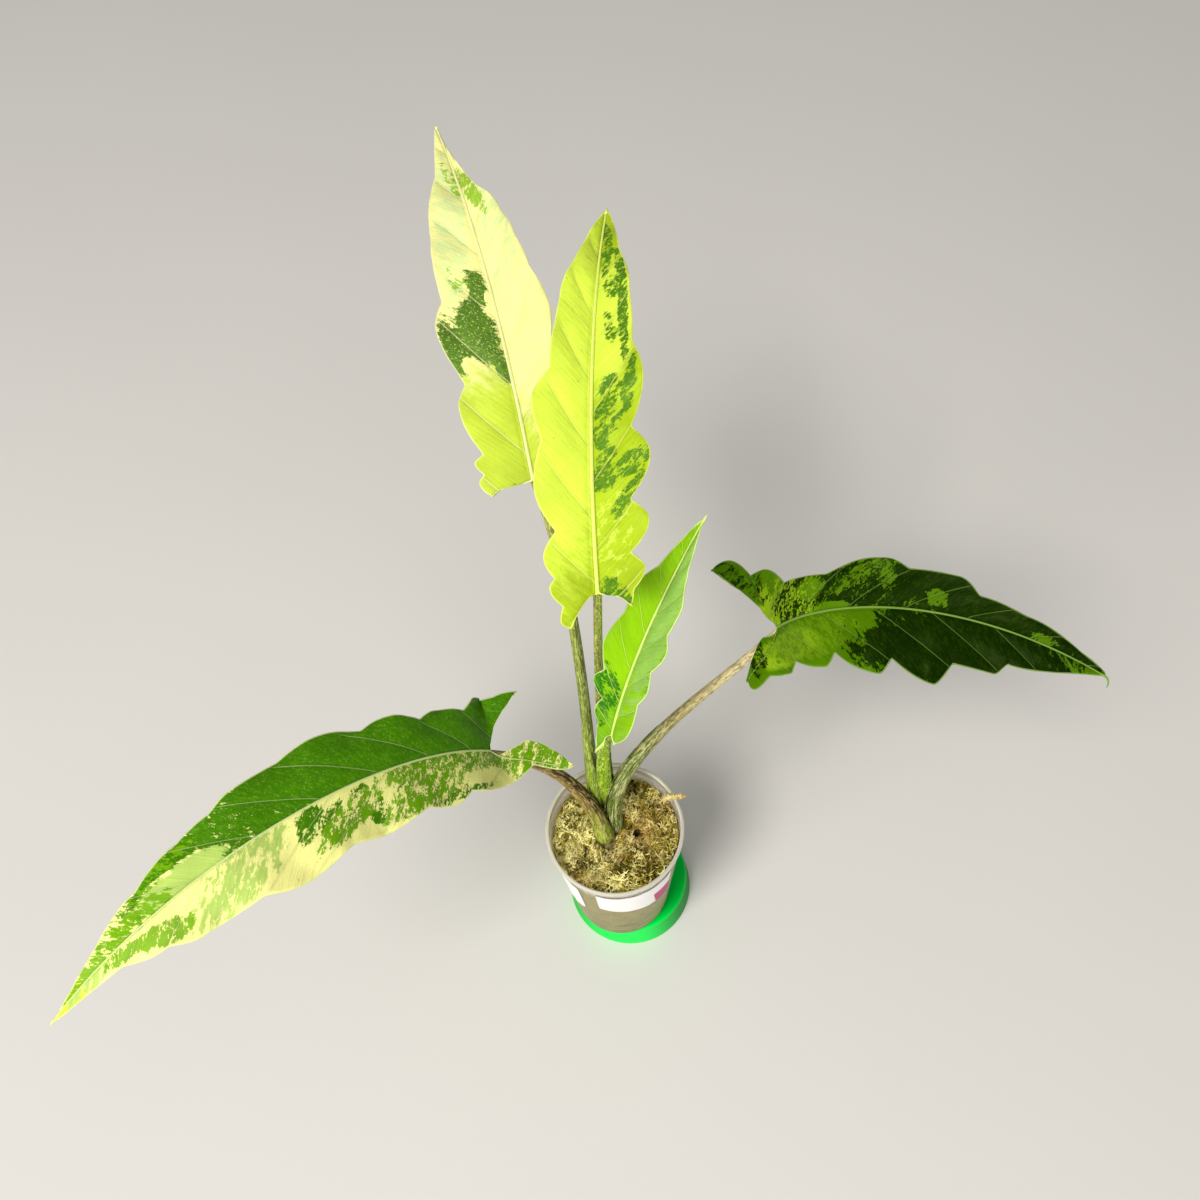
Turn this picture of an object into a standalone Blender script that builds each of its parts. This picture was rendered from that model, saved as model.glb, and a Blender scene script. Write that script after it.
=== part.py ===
"""Potted alocasia: a frosted cup of moss on an upturned green dish, with five variegated leaves.

Lengths are in metres and +Z is up. Every place below is measured from the point on the
table under the axis of the cup. The last step shifts the whole plant, so that the middle
of the underside of its bounding box is at the origin.
"""

import math

import bmesh
import bpy
from mathutils import Matrix, Vector, noise

MM = 0.001
GAP = 0.3 * MM

# Upturned dish under the cup
DISH_X = 7 * MM
DISH_Y = 10.7 * MM
DISH_FOOT_RADIUS = 47.6 * MM
DISH_TOP_RADIUS = 44.8 * MM
DISH_HEIGHT = 27.2 * MM
DISH_WALL = 1.6 * MM
DISH_EDGE_ROUND = 2.5 * MM

# Cup
CUP_HEIGHT = 142.8 * MM
CUP_FOOT_RADIUS = 35.7 * MM
CUP_NECK_RADIUS = 46 * MM
CUP_WALL = 1.1 * MM
CUP_FLOOR = 1.6 * MM
CUP_EDGE_ROUND = 3 * MM
LIP_RADIUS = 47.5 * MM
LIP_HEIGHT = 3.6 * MM
LIP_INNER_BEVEL = 0.4 * MM
CUP_FLOOR_Z = DISH_HEIGHT + GAP
RIM_Z = CUP_FLOOR_Z + CUP_HEIGHT
ROUND_SEGMENTS = 48

# Moss
MOSS_LEVEL = RIM_Z - 13 * MM
MOSS_RISE_TO_FRONT = 3 * MM
MOSS_EDGE_DROP = 4 * MM
MOSS_LUMP = 2.6 * MM
MOSS_LUMP_SIZE = 13 * MM
MOSS_FINE_SHARE = 0.5
MOSS_FINE_FACTOR = 2.3
MOSS_WALL_TOP_DROP = 12 * MM
MOSS_WALL_FOOT_RISE = 6 * MM
MOSS_FLOOR_INSET = 1.8 * MM
MOSS_SIDE_GAP = 0.45 * MM
MOSS_SEGMENTS = 40
MOSS_TOP_RINGS = 12
MOSS_WALL_RINGS = 4
MOSS_FLOOR_RINGS = 4

# Stem base and roots, set in the moss
CROWN_X = -2.5 * MM
CROWN_Y = 9.5 * MM
CROWN_DEPTH_SCALE = 1.3
DIMPLE_FLOOR = (17.5 * MM, 24 * MM)
DIMPLE_FLARE = 1.25
DIMPLE_DEPTH = 40 * MM
CROWN_OUTLINE = [(13, 151.5), (14.5, 149.5), (13.5, 142), (11, 134), (13, 126), (13, 118), (9.5, 110)]
CROWN_FOOT = (3, 106)
CROWN_SEGMENTS = 28
CROWN_TOP_Z = CROWN_OUTLINE[0][1] * MM
ROOT_COUNT = 6
ROOT_TOP_RADIUS = 1.8 * MM
ROOT_TIP_RADIUS = 0.7 * MM
ROOT_LENGTH = 56 * MM
ROOT_TOP_Z = 118 * MM
ROOT_SLANT = math.radians(19)
ROOT_START = 4 * MM
ROOT_SHORTENING = 0.12
ROOT_TURN = 0.35

# Blades
BLADE_THICKNESS = 0.9 * MM
BLADE_ROWS = 34
LOBE_ROWS = 5
BLADE_COLUMNS = 4
TIP_HALF_WIDTH = 0.5 * MM
LOBE_TIP_HALF_WIDTH = 1.0 * MM
HINGE_LENGTH = 12 * MM
SPINE_STEP = 1 * MM
LOBE_REACH = 60 * MM
SINUS_CLEARANCE = 3.6
SINUS_ROUND = 5.0

# Petioles
PETIOLE_POINTS = 18
FOOT_UPRIGHT = 1.5 * MM
TOP_SET_IN = 1.5 * MM

# Stickers on the cup: angles from the front (towards +X) of the start and the end, the
# heights of the lower and upper edge there, and the rounding of the corners
STICKER_THICKNESS = 0.35 * MM
STICKER_FRONT = {"angles": (-23, 52), "low": (118, 102), "high": (157, 153), "corner": 1.5}
STICKER_SIDE = {"angles": (-84, -40), "low": (86, 90), "high": (156, 156), "corner": 9}
STICKER_CELLS = (10, 8)

# Colour, roughness and metallic value of each material
MATERIALS = {
    "dish_green": ((0.02, 0.62, 0.16), 0.35, 0.0),
    "cup_frosted": ((0.62, 0.60, 0.45), 0.45, 0.0),
    "sticker_white": ((0.90, 0.89, 0.87), 0.55, 0.0),
    "moss_straw": ((0.52, 0.47, 0.21), 0.95, 0.0),
    "stem_green": ((0.42, 0.56, 0.12), 0.5, 0.0),
    "stem_brown": ((0.26, 0.22, 0.10), 0.5, 0.0),
    "leaf_cream": ((0.74, 0.80, 0.38), 0.42, 0.0),
    "leaf_lime": ((0.56, 0.74, 0.08), 0.42, 0.0),
    "leaf_green": ((0.06, 0.20, 0.04), 0.40, 0.0),
}

# Petioles: foot on the crown, the pull of each end of the curve, the two radii, and how
# much lower than the blade the top is tucked.
# Blades: length, heading and rise of the midrib with their change along it, roll, fold,
# lift of the back lobes, and wave. A margin lists its points from the tip of the back
# lobe: the distance along the midrib and the reach from it, tip and notch in turn. Past
# the last point it tapers to the tip of the leaf by the power named taper.
LEAVES = {
    "back": {
        "foot": (-11, 12.5),
        "foot_pull": (-1.5, 28.5, 85),
        "top_pull": (-18.5, 30, 88),
        "attach": (-24, 114, 420),
        "tuck": 0,
        "radii": (4.2, 2.7),
        "stem": "stem_green",
        "blade": "leaf_cream",
        "length": 232,
        "heading": (96, 8),
        "rise": (40, 45),
        "arch": 1.0,
        "roll": -15,
        "fold": 12,
        "lobe_lift": -12,
        "wave": (2.2, 52, 0.4),
        "sinus": (0.25, 0.5),
        "left": [(-5, 24), (4, 30), (8, 26), (15, 30), (19, 24), (48, 32), (59, 26), (95, 34),
                 (109, 28), (149, 24), (190, 11)],
        "right": [(-9, 17), (-3, 22), (20, 30), (32, 25), (54, 29), (66, 27), (86, 31.5),
                  (111, 26), (131, 23), (150, 19), (172, 10)],
        "taper": (0.8, 2),
    },
    "middle": {
        "foot": (-3.8, 26.5),
        "foot_pull": (2, 36, 100),
        "top_pull": (3, -14, 85),
        "attach": (5, 27, 440),
        "tuck": 0,
        "radii": (3.3, 2.2),
        "stem": "stem_green",
        "blade": "leaf_lime",
        "length": 203,
        "heading": (87.5, -10),
        "rise": (50, 50),
        "arch": 1.0,
        "roll": 0,
        "fold": 12,
        "lobe_lift": -8,
        "wave": (2.4, 40, 0.0),
        "sinus": (0.53, 0.4),
        "left": [(-18, 15), (-13, 20), (-4, 18), (6, 24), (10, 21), (20, 26), (33, 19),
                 (56, 29), (76, 24.5), (96, 29.5), (110, 21), (146, 18), (170, 12)],
        "right": [(-6, 17), (2, 18.5), (13, 25), (21, 18), (38, 28), (47, 19), (69, 29.5),
                  (82, 20), (106, 26), (124, 20), (153, 17), (176, 10)],
        "taper": (0.8, 0.68),
    },
    "new": {
        "foot": (-1, 17),
        "foot_pull": (-5.9, 17.7, 50.4),
        "top_pull": (6.6, -11.4, 22.4),
        "attach": (5, 7, 310),
        "tuck": 0,
        "radii": (4.2, 2.6),
        "stem": "stem_green",
        "blade": "leaf_lime",
        "length": 153,
        "heading": (47, 0),
        "rise": (74, 40),
        "arch": 1.0,
        "roll": -8,
        "fold": 20,
        "lobe_lift": 0,
        "wave": (1.5, 34, 0.2),
        "sinus": (1.5, 1),
        "left": [(-23, 8), (5, 10), (16, 14), (26, 11), (38, 19.5), (46, 15), (66, 20.5),
                 (86, 16), (103, 16), (118, 10)],
        "right": [(-6, 3), (27, 16.5), (41, 14.5), (56, 19), (65, 15), (82, 21), (90, 16),
                  (104, 17), (118, 11)],
        "taper": (0.82, 1.15),
    },
    "right": {
        "foot": (0.5, 6.3),
        "foot_pull": (-9.2, 22.3, 68.2),
        "top_pull": (40, 12, 52),
        "attach": (110, 61, 320),
        "tuck": 0.9,
        "radii": (5.2, 2.6),
        "stem": "stem_brown",
        "blade": "leaf_green",
        "length": 197,
        "heading": (-17, -18),
        "rise": (65, 80),
        "arch": 0.7,
        "roll": 28,
        "fold": 12,
        "lobe_lift": 45,
        "wave": (2.2, 34, 0.1),
        "sinus": (0.8, 3.9),
        "left": [(-41, 38), (-30, 44), (-16, 32), (7, 35), (17, 22.5), (44, 21), (76, 28),
                 (88, 22.5), (112, 22), (124, 14), (148, 11), (180, 5)],
        "right": [(-20, 31), (-14, 36), (-7, 28), (6, 31), (17, 26), (38, 33), (47, 25.5),
                  (77, 38), (85, 29), (112, 39.5), (120, 26), (143, 25), (148, 17.5), (174, 11)],
        "taper": (0.43, 1),
    },
    "left": {
        "foot": (-6.6, -3.5),
        "foot_pull": (-5.5, 27, 46),
        "top_pull": (-33, -7.5, 31),
        "attach": (-72, 24, 265),
        "tuck": 0.9,
        "radii": (5.8, 2.7),
        "stem": "stem_brown",
        "blade": "leaf_green",
        "length": 309,
        "heading": (-147.5, 5),
        "rise": (60, 90),
        "arch": 1.0,
        "roll": -20,
        "fold": 12,
        "lobe_lift": 45,
        "wave": (2.0, 50, 0.3),
        "sinus": (4.5, 0.6),
        "left": [(-45, 34), (-22, 20), (34, 29), (42, 27), (57, 33), (82, 30), (108, 34.5),
                 (132, 31), (162, 36), (185, 29), (218, 26), (237, 18), (261, 9)],
        "right": [(-36, 27), (-20, 31), (3, 35), (22, 25), (45, 27), (58, 23), (84, 29),
                  (97, 26), (126, 32), (145, 29), (170, 28), (185, 24), (206, 21), (233, 15), (262, 9)],
        "taper": (0.7, 1.3),
    },
}


def clear_scene():
    for item in list(bpy.data.objects):
        bpy.data.objects.remove(item, do_unlink=True)


def make_material(name):
    colour, roughness, metallic = MATERIALS[name]
    material = bpy.data.materials.new(name)
    material.use_nodes = True
    shader = material.node_tree.nodes["Principled BSDF"]
    shader.inputs["Base Color"].default_value = (*colour, 1.0)
    shader.inputs["Roughness"].default_value = roughness
    shader.inputs["Metallic"].default_value = metallic
    material.diffuse_color = (*colour, 1.0)
    return material


def add_object(name, data, material=None, collection=None):
    """Put a mesh or curve in the scene under a name, with its material."""
    item = bpy.data.objects.new(name, data)
    (collection or bpy.context.scene.collection).objects.link(item)
    if material is not None:
        data.materials.append(material)
    return item


def mesh_from(bm, name):
    mesh = bpy.data.meshes.new(name)
    bm.to_mesh(mesh)
    bm.free()
    return mesh


def arc(centre_r, centre_z, radius, start_deg, end_deg, steps=4):
    """Points of a profile's round corner, from one angle to the other."""
    points = []
    for i in range(steps + 1):
        angle = math.radians(start_deg + (end_deg - start_deg) * i / steps)
        points.append((centre_r + radius * math.cos(angle), centre_z + radius * math.sin(angle)))
    return points


def turned(name, profile, material, segments=ROUND_SEGMENTS, collection=None, stretch_y=1.0):
    """A solid of revolution from a profile that starts and ends on the axis."""
    mesh = bpy.data.meshes.new(name)
    edges = [(i, i + 1) for i in range(len(profile) - 1)]
    mesh.from_pydata([(r, 0.0, z) for r, z in profile], edges, [])
    item = add_object(name, mesh, material, collection)
    screw = item.modifiers.new("Turn", "SCREW")
    screw.axis = "Z"
    screw.angle = math.tau
    screw.steps = segments
    screw.render_steps = segments
    screw.use_merge_vertices = True
    screw.merge_threshold = 0.00001
    item.scale.y = stretch_y
    return item


def cut(item, cutter):
    modifier = item.modifiers.new("Cut", "BOOLEAN")
    modifier.operation = "DIFFERENCE"
    modifier.solver = "EXACT"
    modifier.object = cutter


# Dish and cup


def make_dish(material):
    """The dish stands on its rim, so its flat underside faces up and carries the cup."""
    slope = math.degrees(math.atan2(DISH_FOOT_RADIUS - DISH_TOP_RADIUS, DISH_HEIGHT))
    corner_r = DISH_TOP_RADIUS - DISH_EDGE_ROUND
    corner_z = DISH_HEIGHT - DISH_EDGE_ROUND
    inner_top = DISH_HEIGHT - DISH_WALL
    profile = [(0.0, DISH_HEIGHT)]
    profile += arc(corner_r, corner_z, DISH_EDGE_ROUND, 90, slope)
    profile.append((DISH_FOOT_RADIUS, 0.0))
    profile.append((DISH_FOOT_RADIUS - 2 * DISH_WALL, 0.0))
    profile.append((DISH_TOP_RADIUS - DISH_WALL, inner_top - DISH_WALL))
    profile.append((DISH_TOP_RADIUS - 2 * DISH_WALL, inner_top))
    profile.append((0.0, inner_top))
    dish = turned("dish", profile, material)
    dish.location = (DISH_X, DISH_Y, 0.0)
    return dish


def cup_radius(z):
    """Outer radius of the cup's wall at a height."""
    share = (z - CUP_FLOOR_Z) / (RIM_Z - LIP_HEIGHT - CUP_FLOOR_Z)
    return CUP_FOOT_RADIUS + (CUP_NECK_RADIUS - CUP_FOOT_RADIUS) * share


def make_cup(material):
    lip_mid_z = RIM_Z - LIP_HEIGHT / 2
    lip_round = LIP_HEIGHT / 2
    mouth_radius = CUP_NECK_RADIUS - CUP_WALL
    floor_top = CUP_FLOOR_Z + CUP_FLOOR
    profile = [(0.0, floor_top)]
    profile.append((cup_radius(floor_top) - 2 * CUP_WALL, floor_top))
    profile.append((cup_radius(floor_top + CUP_WALL) - CUP_WALL, floor_top + CUP_WALL))
    profile.append((mouth_radius, RIM_Z - LIP_HEIGHT))
    profile.append((mouth_radius, RIM_Z - LIP_INNER_BEVEL))
    profile.append((mouth_radius + LIP_INNER_BEVEL, RIM_Z))
    profile += arc(LIP_RADIUS - lip_round, lip_mid_z, lip_round, 90, -90, 5)
    profile.append((CUP_NECK_RADIUS, RIM_Z - LIP_HEIGHT))
    profile += arc(
        CUP_FOOT_RADIUS - CUP_EDGE_ROUND, CUP_FLOOR_Z + CUP_EDGE_ROUND, CUP_EDGE_ROUND, 4, -90
    )
    profile.append((0.0, CUP_FLOOR_Z))
    return turned("cup", profile, material)


def sticker_point(spec, u, v):
    """A point of a sticker that is wrapped on the cup, with its corners cut round."""
    start, end = (math.radians(a) for a in spec["angles"])
    low_z, high_z = ((spec[k][0] + (spec[k][1] - spec[k][0]) * u) * MM for k in ("low", "high"))
    z = low_z + (high_z - low_z) * v
    radius = cup_radius(z) + GAP
    half_width = (end - start) / 2 * radius
    corner = spec["corner"] * MM
    edge_distance = min(z - low_z, high_z - z)
    inset = 0.0
    if edge_distance < corner:
        inset = corner - math.sqrt(corner**2 - (corner - edge_distance) ** 2)
    angle = (start + end) / 2 + (2 * u - 1) * (half_width - inset) / radius
    return Vector((radius * math.sin(angle), -radius * math.cos(angle), z))


def make_sticker(name, spec, material):
    bm = bmesh.new()
    across, up = STICKER_CELLS
    bmesh.ops.create_grid(bm, x_segments=across, y_segments=up, size=1.0)
    for vert in bm.verts:
        v = (vert.co.y + 1) / 2
        eased = (1 - math.cos(math.pi * v)) / 2
        vert.co = sticker_point(spec, (vert.co.x + 1) / 2, eased)
    bmesh.ops.triangulate(bm, faces=bm.faces)
    item = add_object(name, mesh_from(bm, name), material)
    solid = item.modifiers.new("Thickness", "SOLIDIFY")
    solid.thickness = STICKER_THICKNESS
    solid.offset = 1.0
    return item


# Moss with the hole for the stem base


def moss_top(x, y):
    """Height of the moss at a place: a lumpy bed, a little higher at the front."""
    reach = math.hypot(x, y) / CUP_NECK_RADIUS
    lump = noise.noise(Vector((x, y, 0.0)) / MOSS_LUMP_SIZE)
    fine = noise.noise(Vector((x, y, 1.0)) / MOSS_LUMP_SIZE * MOSS_FINE_FACTOR)
    front = -y / CUP_NECK_RADIUS * MOSS_RISE_TO_FRONT
    relief = MOSS_LUMP * (lump + MOSS_FINE_SHARE * fine)
    return MOSS_LEVEL + front - MOSS_EDGE_DROP * reach**4 + relief


def moss_point(ring, angle):
    """A point of the moss body: rings run over the top, down the wall and across the floor."""
    floor_z = CUP_FLOOR_Z + CUP_FLOOR + GAP
    side = CUP_WALL + MOSS_SIDE_GAP
    wall_end = MOSS_TOP_RINGS + MOSS_WALL_RINGS
    top_radius = cup_radius(MOSS_LEVEL - MOSS_EDGE_DROP) - side
    floor_radius = cup_radius(floor_z) - side - MOSS_FLOOR_INSET
    if ring <= MOSS_TOP_RINGS:
        radius = top_radius * ring / MOSS_TOP_RINGS
        x = radius * math.cos(angle)
        y = radius * math.sin(angle)
        return Vector((x, y, moss_top(x, y)))
    if ring < wall_end:
        share = (ring - MOSS_TOP_RINGS) / MOSS_WALL_RINGS
        top_z = MOSS_LEVEL - MOSS_WALL_TOP_DROP
        z = top_z + (floor_z + MOSS_WALL_FOOT_RISE - top_z) * share
        radius = cup_radius(z) - side
        return Vector((radius * math.cos(angle), radius * math.sin(angle), z))
    radius = floor_radius * (1 - (ring - wall_end) / MOSS_FLOOR_RINGS)
    return Vector((radius * math.cos(angle), radius * math.sin(angle), floor_z))


def make_moss(material):
    """A ball's rings are moved onto the top, wall and floor of the moss."""
    rings = MOSS_TOP_RINGS + MOSS_WALL_RINGS + MOSS_FLOOR_RINGS
    bm = bmesh.new()
    bmesh.ops.create_uvsphere(bm, u_segments=MOSS_SEGMENTS, v_segments=rings, radius=1.0)
    for vert in bm.verts:
        height = max(-1.0, min(1.0, vert.co.z))
        ring = round(math.acos(height) / math.pi * rings)
        vert.co = moss_point(ring, math.atan2(vert.co.y, vert.co.x))
    bmesh.ops.triangulate(bm, faces=bm.faces)
    return add_object("moss", mesh_from(bm, "moss"), material)


def crown_profile(grow):
    """Profile of the swollen stem base, larger by a clearance for the cutter."""
    profile = [(0.0, CROWN_TOP_Z + grow), (CROWN_OUTLINE[0][0] * MM + grow, CROWN_TOP_Z + grow)]
    profile += [(radius * MM + grow, z * MM) for radius, z in CROWN_OUTLINE[1:]]
    foot_radius, foot_z = CROWN_FOOT
    profile += [(foot_radius * MM, foot_z * MM - grow), (0.0, foot_z * MM - grow)]
    return profile


def place_on_crown(item):
    item.location = (CROWN_X, CROWN_Y, 0.0)


def make_root(name, index, grow, collection):
    """One slanting root, thick at the stem base and thin at its end."""
    bm = bmesh.new()
    length = ROOT_LENGTH * (1.0 - ROOT_SHORTENING * (index % 3)) + 2 * grow
    bmesh.ops.create_cone(
        bm,
        cap_ends=True,
        segments=8,
        radius1=ROOT_TIP_RADIUS + grow,
        radius2=ROOT_TOP_RADIUS + grow,
        depth=length,
    )
    turn = Matrix.Rotation(math.tau * (index + ROOT_TURN) / ROOT_COUNT, 4, "Z")
    slant = Matrix.Rotation(-ROOT_SLANT, 4, "Y")
    sink = Matrix.Translation((ROOT_START, 0.0, ROOT_TOP_Z))
    hang = Matrix.Translation((0.0, 0.0, grow - length / 2))
    bmesh.ops.transform(bm, matrix=turn @ sink @ slant @ hang, verts=bm.verts)
    root = add_object(name, mesh_from(bm, name), None, collection)
    place_on_crown(root)
    return root


def make_crown(material, cutters):
    """The stem base with its roots fused in."""
    crown = turned("crown", crown_profile(0.0), material, CROWN_SEGMENTS, None, CROWN_DEPTH_SCALE)
    place_on_crown(crown)
    for index in range(ROOT_COUNT):
        root = make_root(f"root_{index}", index, 0.0, cutters)
        join = crown.modifiers.new("Join root", "BOOLEAN")
        join.operation = "UNION"
        join.solver = "EXACT"
        join.object = root
    return crown


def cut_moss_for_crown(moss, cutters):
    """A dimple round the petioles, and below it a plain hole for the stem base and roots."""
    outline = crown_profile(GAP)
    hole = turned("crown_hole", outline, None, CROWN_SEGMENTS, cutters, CROWN_DEPTH_SCALE)
    place_on_crown(hole)
    bm = bmesh.new()
    bmesh.ops.create_cone(
        bm,
        cap_ends=True,
        segments=CROWN_SEGMENTS,
        radius1=1.0,
        radius2=DIMPLE_FLARE,
        depth=DIMPLE_DEPTH,
    )
    base_z = CROWN_TOP_Z - 0.5 * MM + DIMPLE_DEPTH / 2
    base = Matrix.Translation((CROWN_X, CROWN_Y, base_z))
    size = Matrix.Diagonal((DIMPLE_FLOOR[0], DIMPLE_FLOOR[1], 1.0, 1.0))
    bmesh.ops.transform(bm, matrix=base @ size, verts=bm.verts)
    dimple = add_object("dimple", mesh_from(bm, "dimple"), None, cutters)
    cut(moss, hole)
    cut(moss, dimple)
    for index in range(ROOT_COUNT):
        cut(moss, make_root(f"root_hole_{index}", index, GAP, cutters))


# Leaves


def direction(heading_deg, rise_deg):
    heading = math.radians(heading_deg)
    rise = math.radians(rise_deg)
    flat = math.cos(rise)
    return Vector((flat * math.cos(heading), flat * math.sin(heading), math.sin(rise)))


def tangent_at(leaf, s):
    """Direction of the midrib at a distance from the attachment, which is below 0 in the lobes."""
    heading, heading_change = leaf["heading"]
    rise, rise_change = leaf["rise"]
    if s < 0:
        return direction(heading, rise - leaf["lobe_lift"] * min(1.0, -s / HINGE_LENGTH))
    share = s / (leaf["length"] * MM)
    return direction(
        heading + heading_change * share, rise - rise_change * share ** leaf["arch"]
    )


def spine_of(leaf):
    """Points of the midrib, a small step apart, forwards and back from the attachment."""
    start = Vector(leaf["attach"]) * MM
    spine = {0: start}
    for sign, reach in ((1, leaf["length"] * MM), (-1, LOBE_REACH)):
        point = start
        for i in range(1, round(reach / SPINE_STEP) + 1):
            point = point + tangent_at(leaf, sign * (i - 0.5) * SPINE_STEP) * sign * SPINE_STEP
            spine[sign * i] = point
    return spine


def frame_at(leaf, spine, s):
    """Point, side and upward directions of the blade at a distance along the midrib."""
    low = math.floor(s / SPINE_STEP)
    low = max(min(spine), min(max(spine) - 1, low))
    point = spine[low].lerp(spine[low + 1], s / SPINE_STEP - low)
    along = tangent_at(leaf, s)
    level = Vector((0, 0, 1)).cross(along).normalized()
    upward = along.cross(level)
    roll = math.radians(leaf["roll"])
    side = level * math.cos(roll) + upward * math.sin(roll)
    return point, side, along.cross(side)


def margin_reach(points, taper, length, s):
    """Reach of the margin from the midrib: rounded lobe tips with sharp notches between."""
    if s <= points[0][0]:
        return points[0][1]
    for (s0, w0), (s1, w1) in zip(points, points[1:]):
        if s <= s1:
            angle = math.pi / 2 * (s - s0) / (s1 - s0)
            ease = math.sin(angle) if w1 > w0 else 1 - math.cos(angle)
            return w0 + (w1 - w0) * ease
    s_last, w_last = points[-1]
    return w_last * max(0.0, (length - s) / (length - s_last)) ** taper


def blade_point(leaf, spine, side_sign, s, w):
    """A point of the blade's middle surface, folded along the midrib and waved at the margin."""
    point, side, up = frame_at(leaf, spine, s)
    fold = math.radians(leaf["fold"])
    height, wave_length, phase = leaf["wave"]
    strength = min(1.4, (w / (30 * MM)) ** 2)
    turn = math.tau * (s / (wave_length * MM) + phase + (0.25 if side_sign < 0 else 0.0))
    wave = height * MM * strength * math.cos(turn)
    return point + side * (side_sign * w * math.cos(fold)) + up * (w * math.sin(fold) + wave)


def half_blade(leaf, spine, side_sign):
    """One half of the blade as a grid: rows along the midrib, columns out to the margin."""
    place = 0 if side_sign > 0 else 1
    points = leaf[("left", "right")[place]]
    taper = leaf["taper"][place]
    length = leaf["length"]
    lobe_tip, lobe_reach = points[0]
    rows = LOBE_ROWS + BLADE_ROWS
    bm = bmesh.new()
    bmesh.ops.create_grid(bm, x_segments=rows, y_segments=BLADE_COLUMNS, size=1.0)
    for vert in bm.verts:
        row = round((vert.co.x + 1) / 2 * rows)
        column = (vert.co.y + 1) / 2
        if row < LOBE_ROWS:
            share = 1 - row / LOBE_ROWS
            s = lobe_tip * share
            clear = SINUS_CLEARANCE * min(1.0, -s / SINUS_ROUND)
            inner = max(clear, lobe_reach * share ** leaf["sinus"][place])
            outer = margin_reach(points, taper, length, s)
            if row == 0:
                inner = lobe_reach - LOBE_TIP_HALF_WIDTH / MM
                outer = lobe_reach + LOBE_TIP_HALF_WIDTH / MM
        else:
            s = length * (row - LOBE_ROWS) / BLADE_ROWS
            inner = 0.0
            outer = max(TIP_HALF_WIDTH / MM, margin_reach(points, taper, length, s))
        w = inner + (outer - inner) * column
        vert.co = blade_point(leaf, spine, side_sign, s * MM, w * MM)
    bmesh.ops.triangulate(bm, faces=bm.faces)
    if side_sign < 0:
        bmesh.ops.reverse_faces(bm, faces=bm.faces)
    return bm


def make_blade(name, leaf, material):
    """Both halves joined along the midrib and given their thickness."""
    spine = spine_of(leaf)
    whole = bmesh.new()
    for side_sign in (1, -1):
        half = mesh_from(half_blade(leaf, spine, side_sign), name + "_half")
        whole.from_mesh(half)
        bpy.data.meshes.remove(half)
    bmesh.ops.remove_doubles(whole, verts=whole.verts, dist=0.01 * MM)
    item = add_object(name, mesh_from(whole, name), material)
    solid = item.modifiers.new("Thickness", "SOLIDIFY")
    solid.thickness = BLADE_THICKNESS
    solid.offset = 0.0
    return item


def petiole_curve(leaf):
    """Points of the petiole, from its upright foot on the crown to just under the blade."""
    foot = Vector((*leaf["foot"], (CROWN_TOP_Z + GAP) / MM))
    start = foot + Vector((0, 0, FOOT_UPRIGHT / MM))
    place, _, up = frame_at(leaf, spine_of(leaf), TOP_SET_IN)
    pull = Vector(leaf["top_pull"])
    lean = pull.normalized().cross(up).length
    drop = (BLADE_THICKNESS / 2 + GAP) / MM + leaf["radii"][1] * lean + leaf["tuck"]
    top = place / MM - up * drop
    first = start + Vector(leaf["foot_pull"])
    second = top - pull
    points = [foot * MM]
    for i in range(PETIOLE_POINTS - 1):
        t = i / (PETIOLE_POINTS - 2)
        rest = 1 - t
        bend = first * 3 * rest**2 * t + second * 3 * rest * t**2
        points.append((start * rest**3 + bend + top * t**3) * MM)
    return points


def make_petiole(name, leaf, material):
    """A tapered stalk from the crown to just under the blade."""
    curve = bpy.data.curves.new(name, "CURVE")
    curve.dimensions = "3D"
    curve.bevel_depth = 1 * MM
    curve.bevel_resolution = 2
    curve.use_fill_caps = True
    spline = curve.splines.new("POLY")
    spline.points.add(PETIOLE_POINTS - 1)
    foot_radius, top_radius = leaf["radii"]
    for i, place in enumerate(petiole_curve(leaf)):
        share = i / (PETIOLE_POINTS - 1)
        spline.points[i].co = (*place, 1.0)
        spline.points[i].radius = foot_radius + (top_radius - foot_radius) * share**0.8
    return add_object(name, curve, material)


def box_middle(items):
    """Middle of the underside of the box round some objects, as evaluated."""
    bpy.context.view_layer.update()
    graph = bpy.context.evaluated_depsgraph_get()
    corners = []
    for item in items:
        evaluated = item.evaluated_get(graph)
        mesh = evaluated.to_mesh()
        corners += [evaluated.matrix_world @ vert.co for vert in mesh.vertices]
        evaluated.to_mesh_clear()
    low = [min(c[axis] for c in corners) for axis in range(3)]
    high = [max(c[axis] for c in corners) for axis in range(3)]
    return Vector(((low[0] + high[0]) / 2, (low[1] + high[1]) / 2, low[2]))


def build():
    clear_scene()
    materials = {name: make_material(name) for name in MATERIALS}
    cutters = bpy.data.collections.new("cutters")
    bpy.context.scene.collection.children.link(cutters)
    parts = [make_dish(materials["dish_green"]), make_cup(materials["cup_frosted"])]
    parts.append(make_sticker("sticker_front", STICKER_FRONT, materials["sticker_white"]))
    parts.append(make_sticker("sticker_side", STICKER_SIDE, materials["sticker_white"]))
    moss = make_moss(materials["moss_straw"])
    cut_moss_for_crown(moss, cutters)
    parts.append(moss)
    parts.append(make_crown(materials["stem_green"], cutters))
    for key, leaf in LEAVES.items():
        parts.append(make_petiole("petiole_" + key, leaf, materials[leaf["stem"]]))
        parts.append(make_blade("blade_" + key, leaf, materials[leaf["blade"]]))
    for cutter in cutters.objects:
        cutter.hide_render = True
        cutter.display_type = "WIRE"
    middle = box_middle(parts)
    plant = bpy.data.objects.new("plant", None)
    bpy.context.scene.collection.objects.link(plant)
    for item in parts + list(cutters.objects):
        item.parent = plant
    plant.location = -middle


build()
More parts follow.
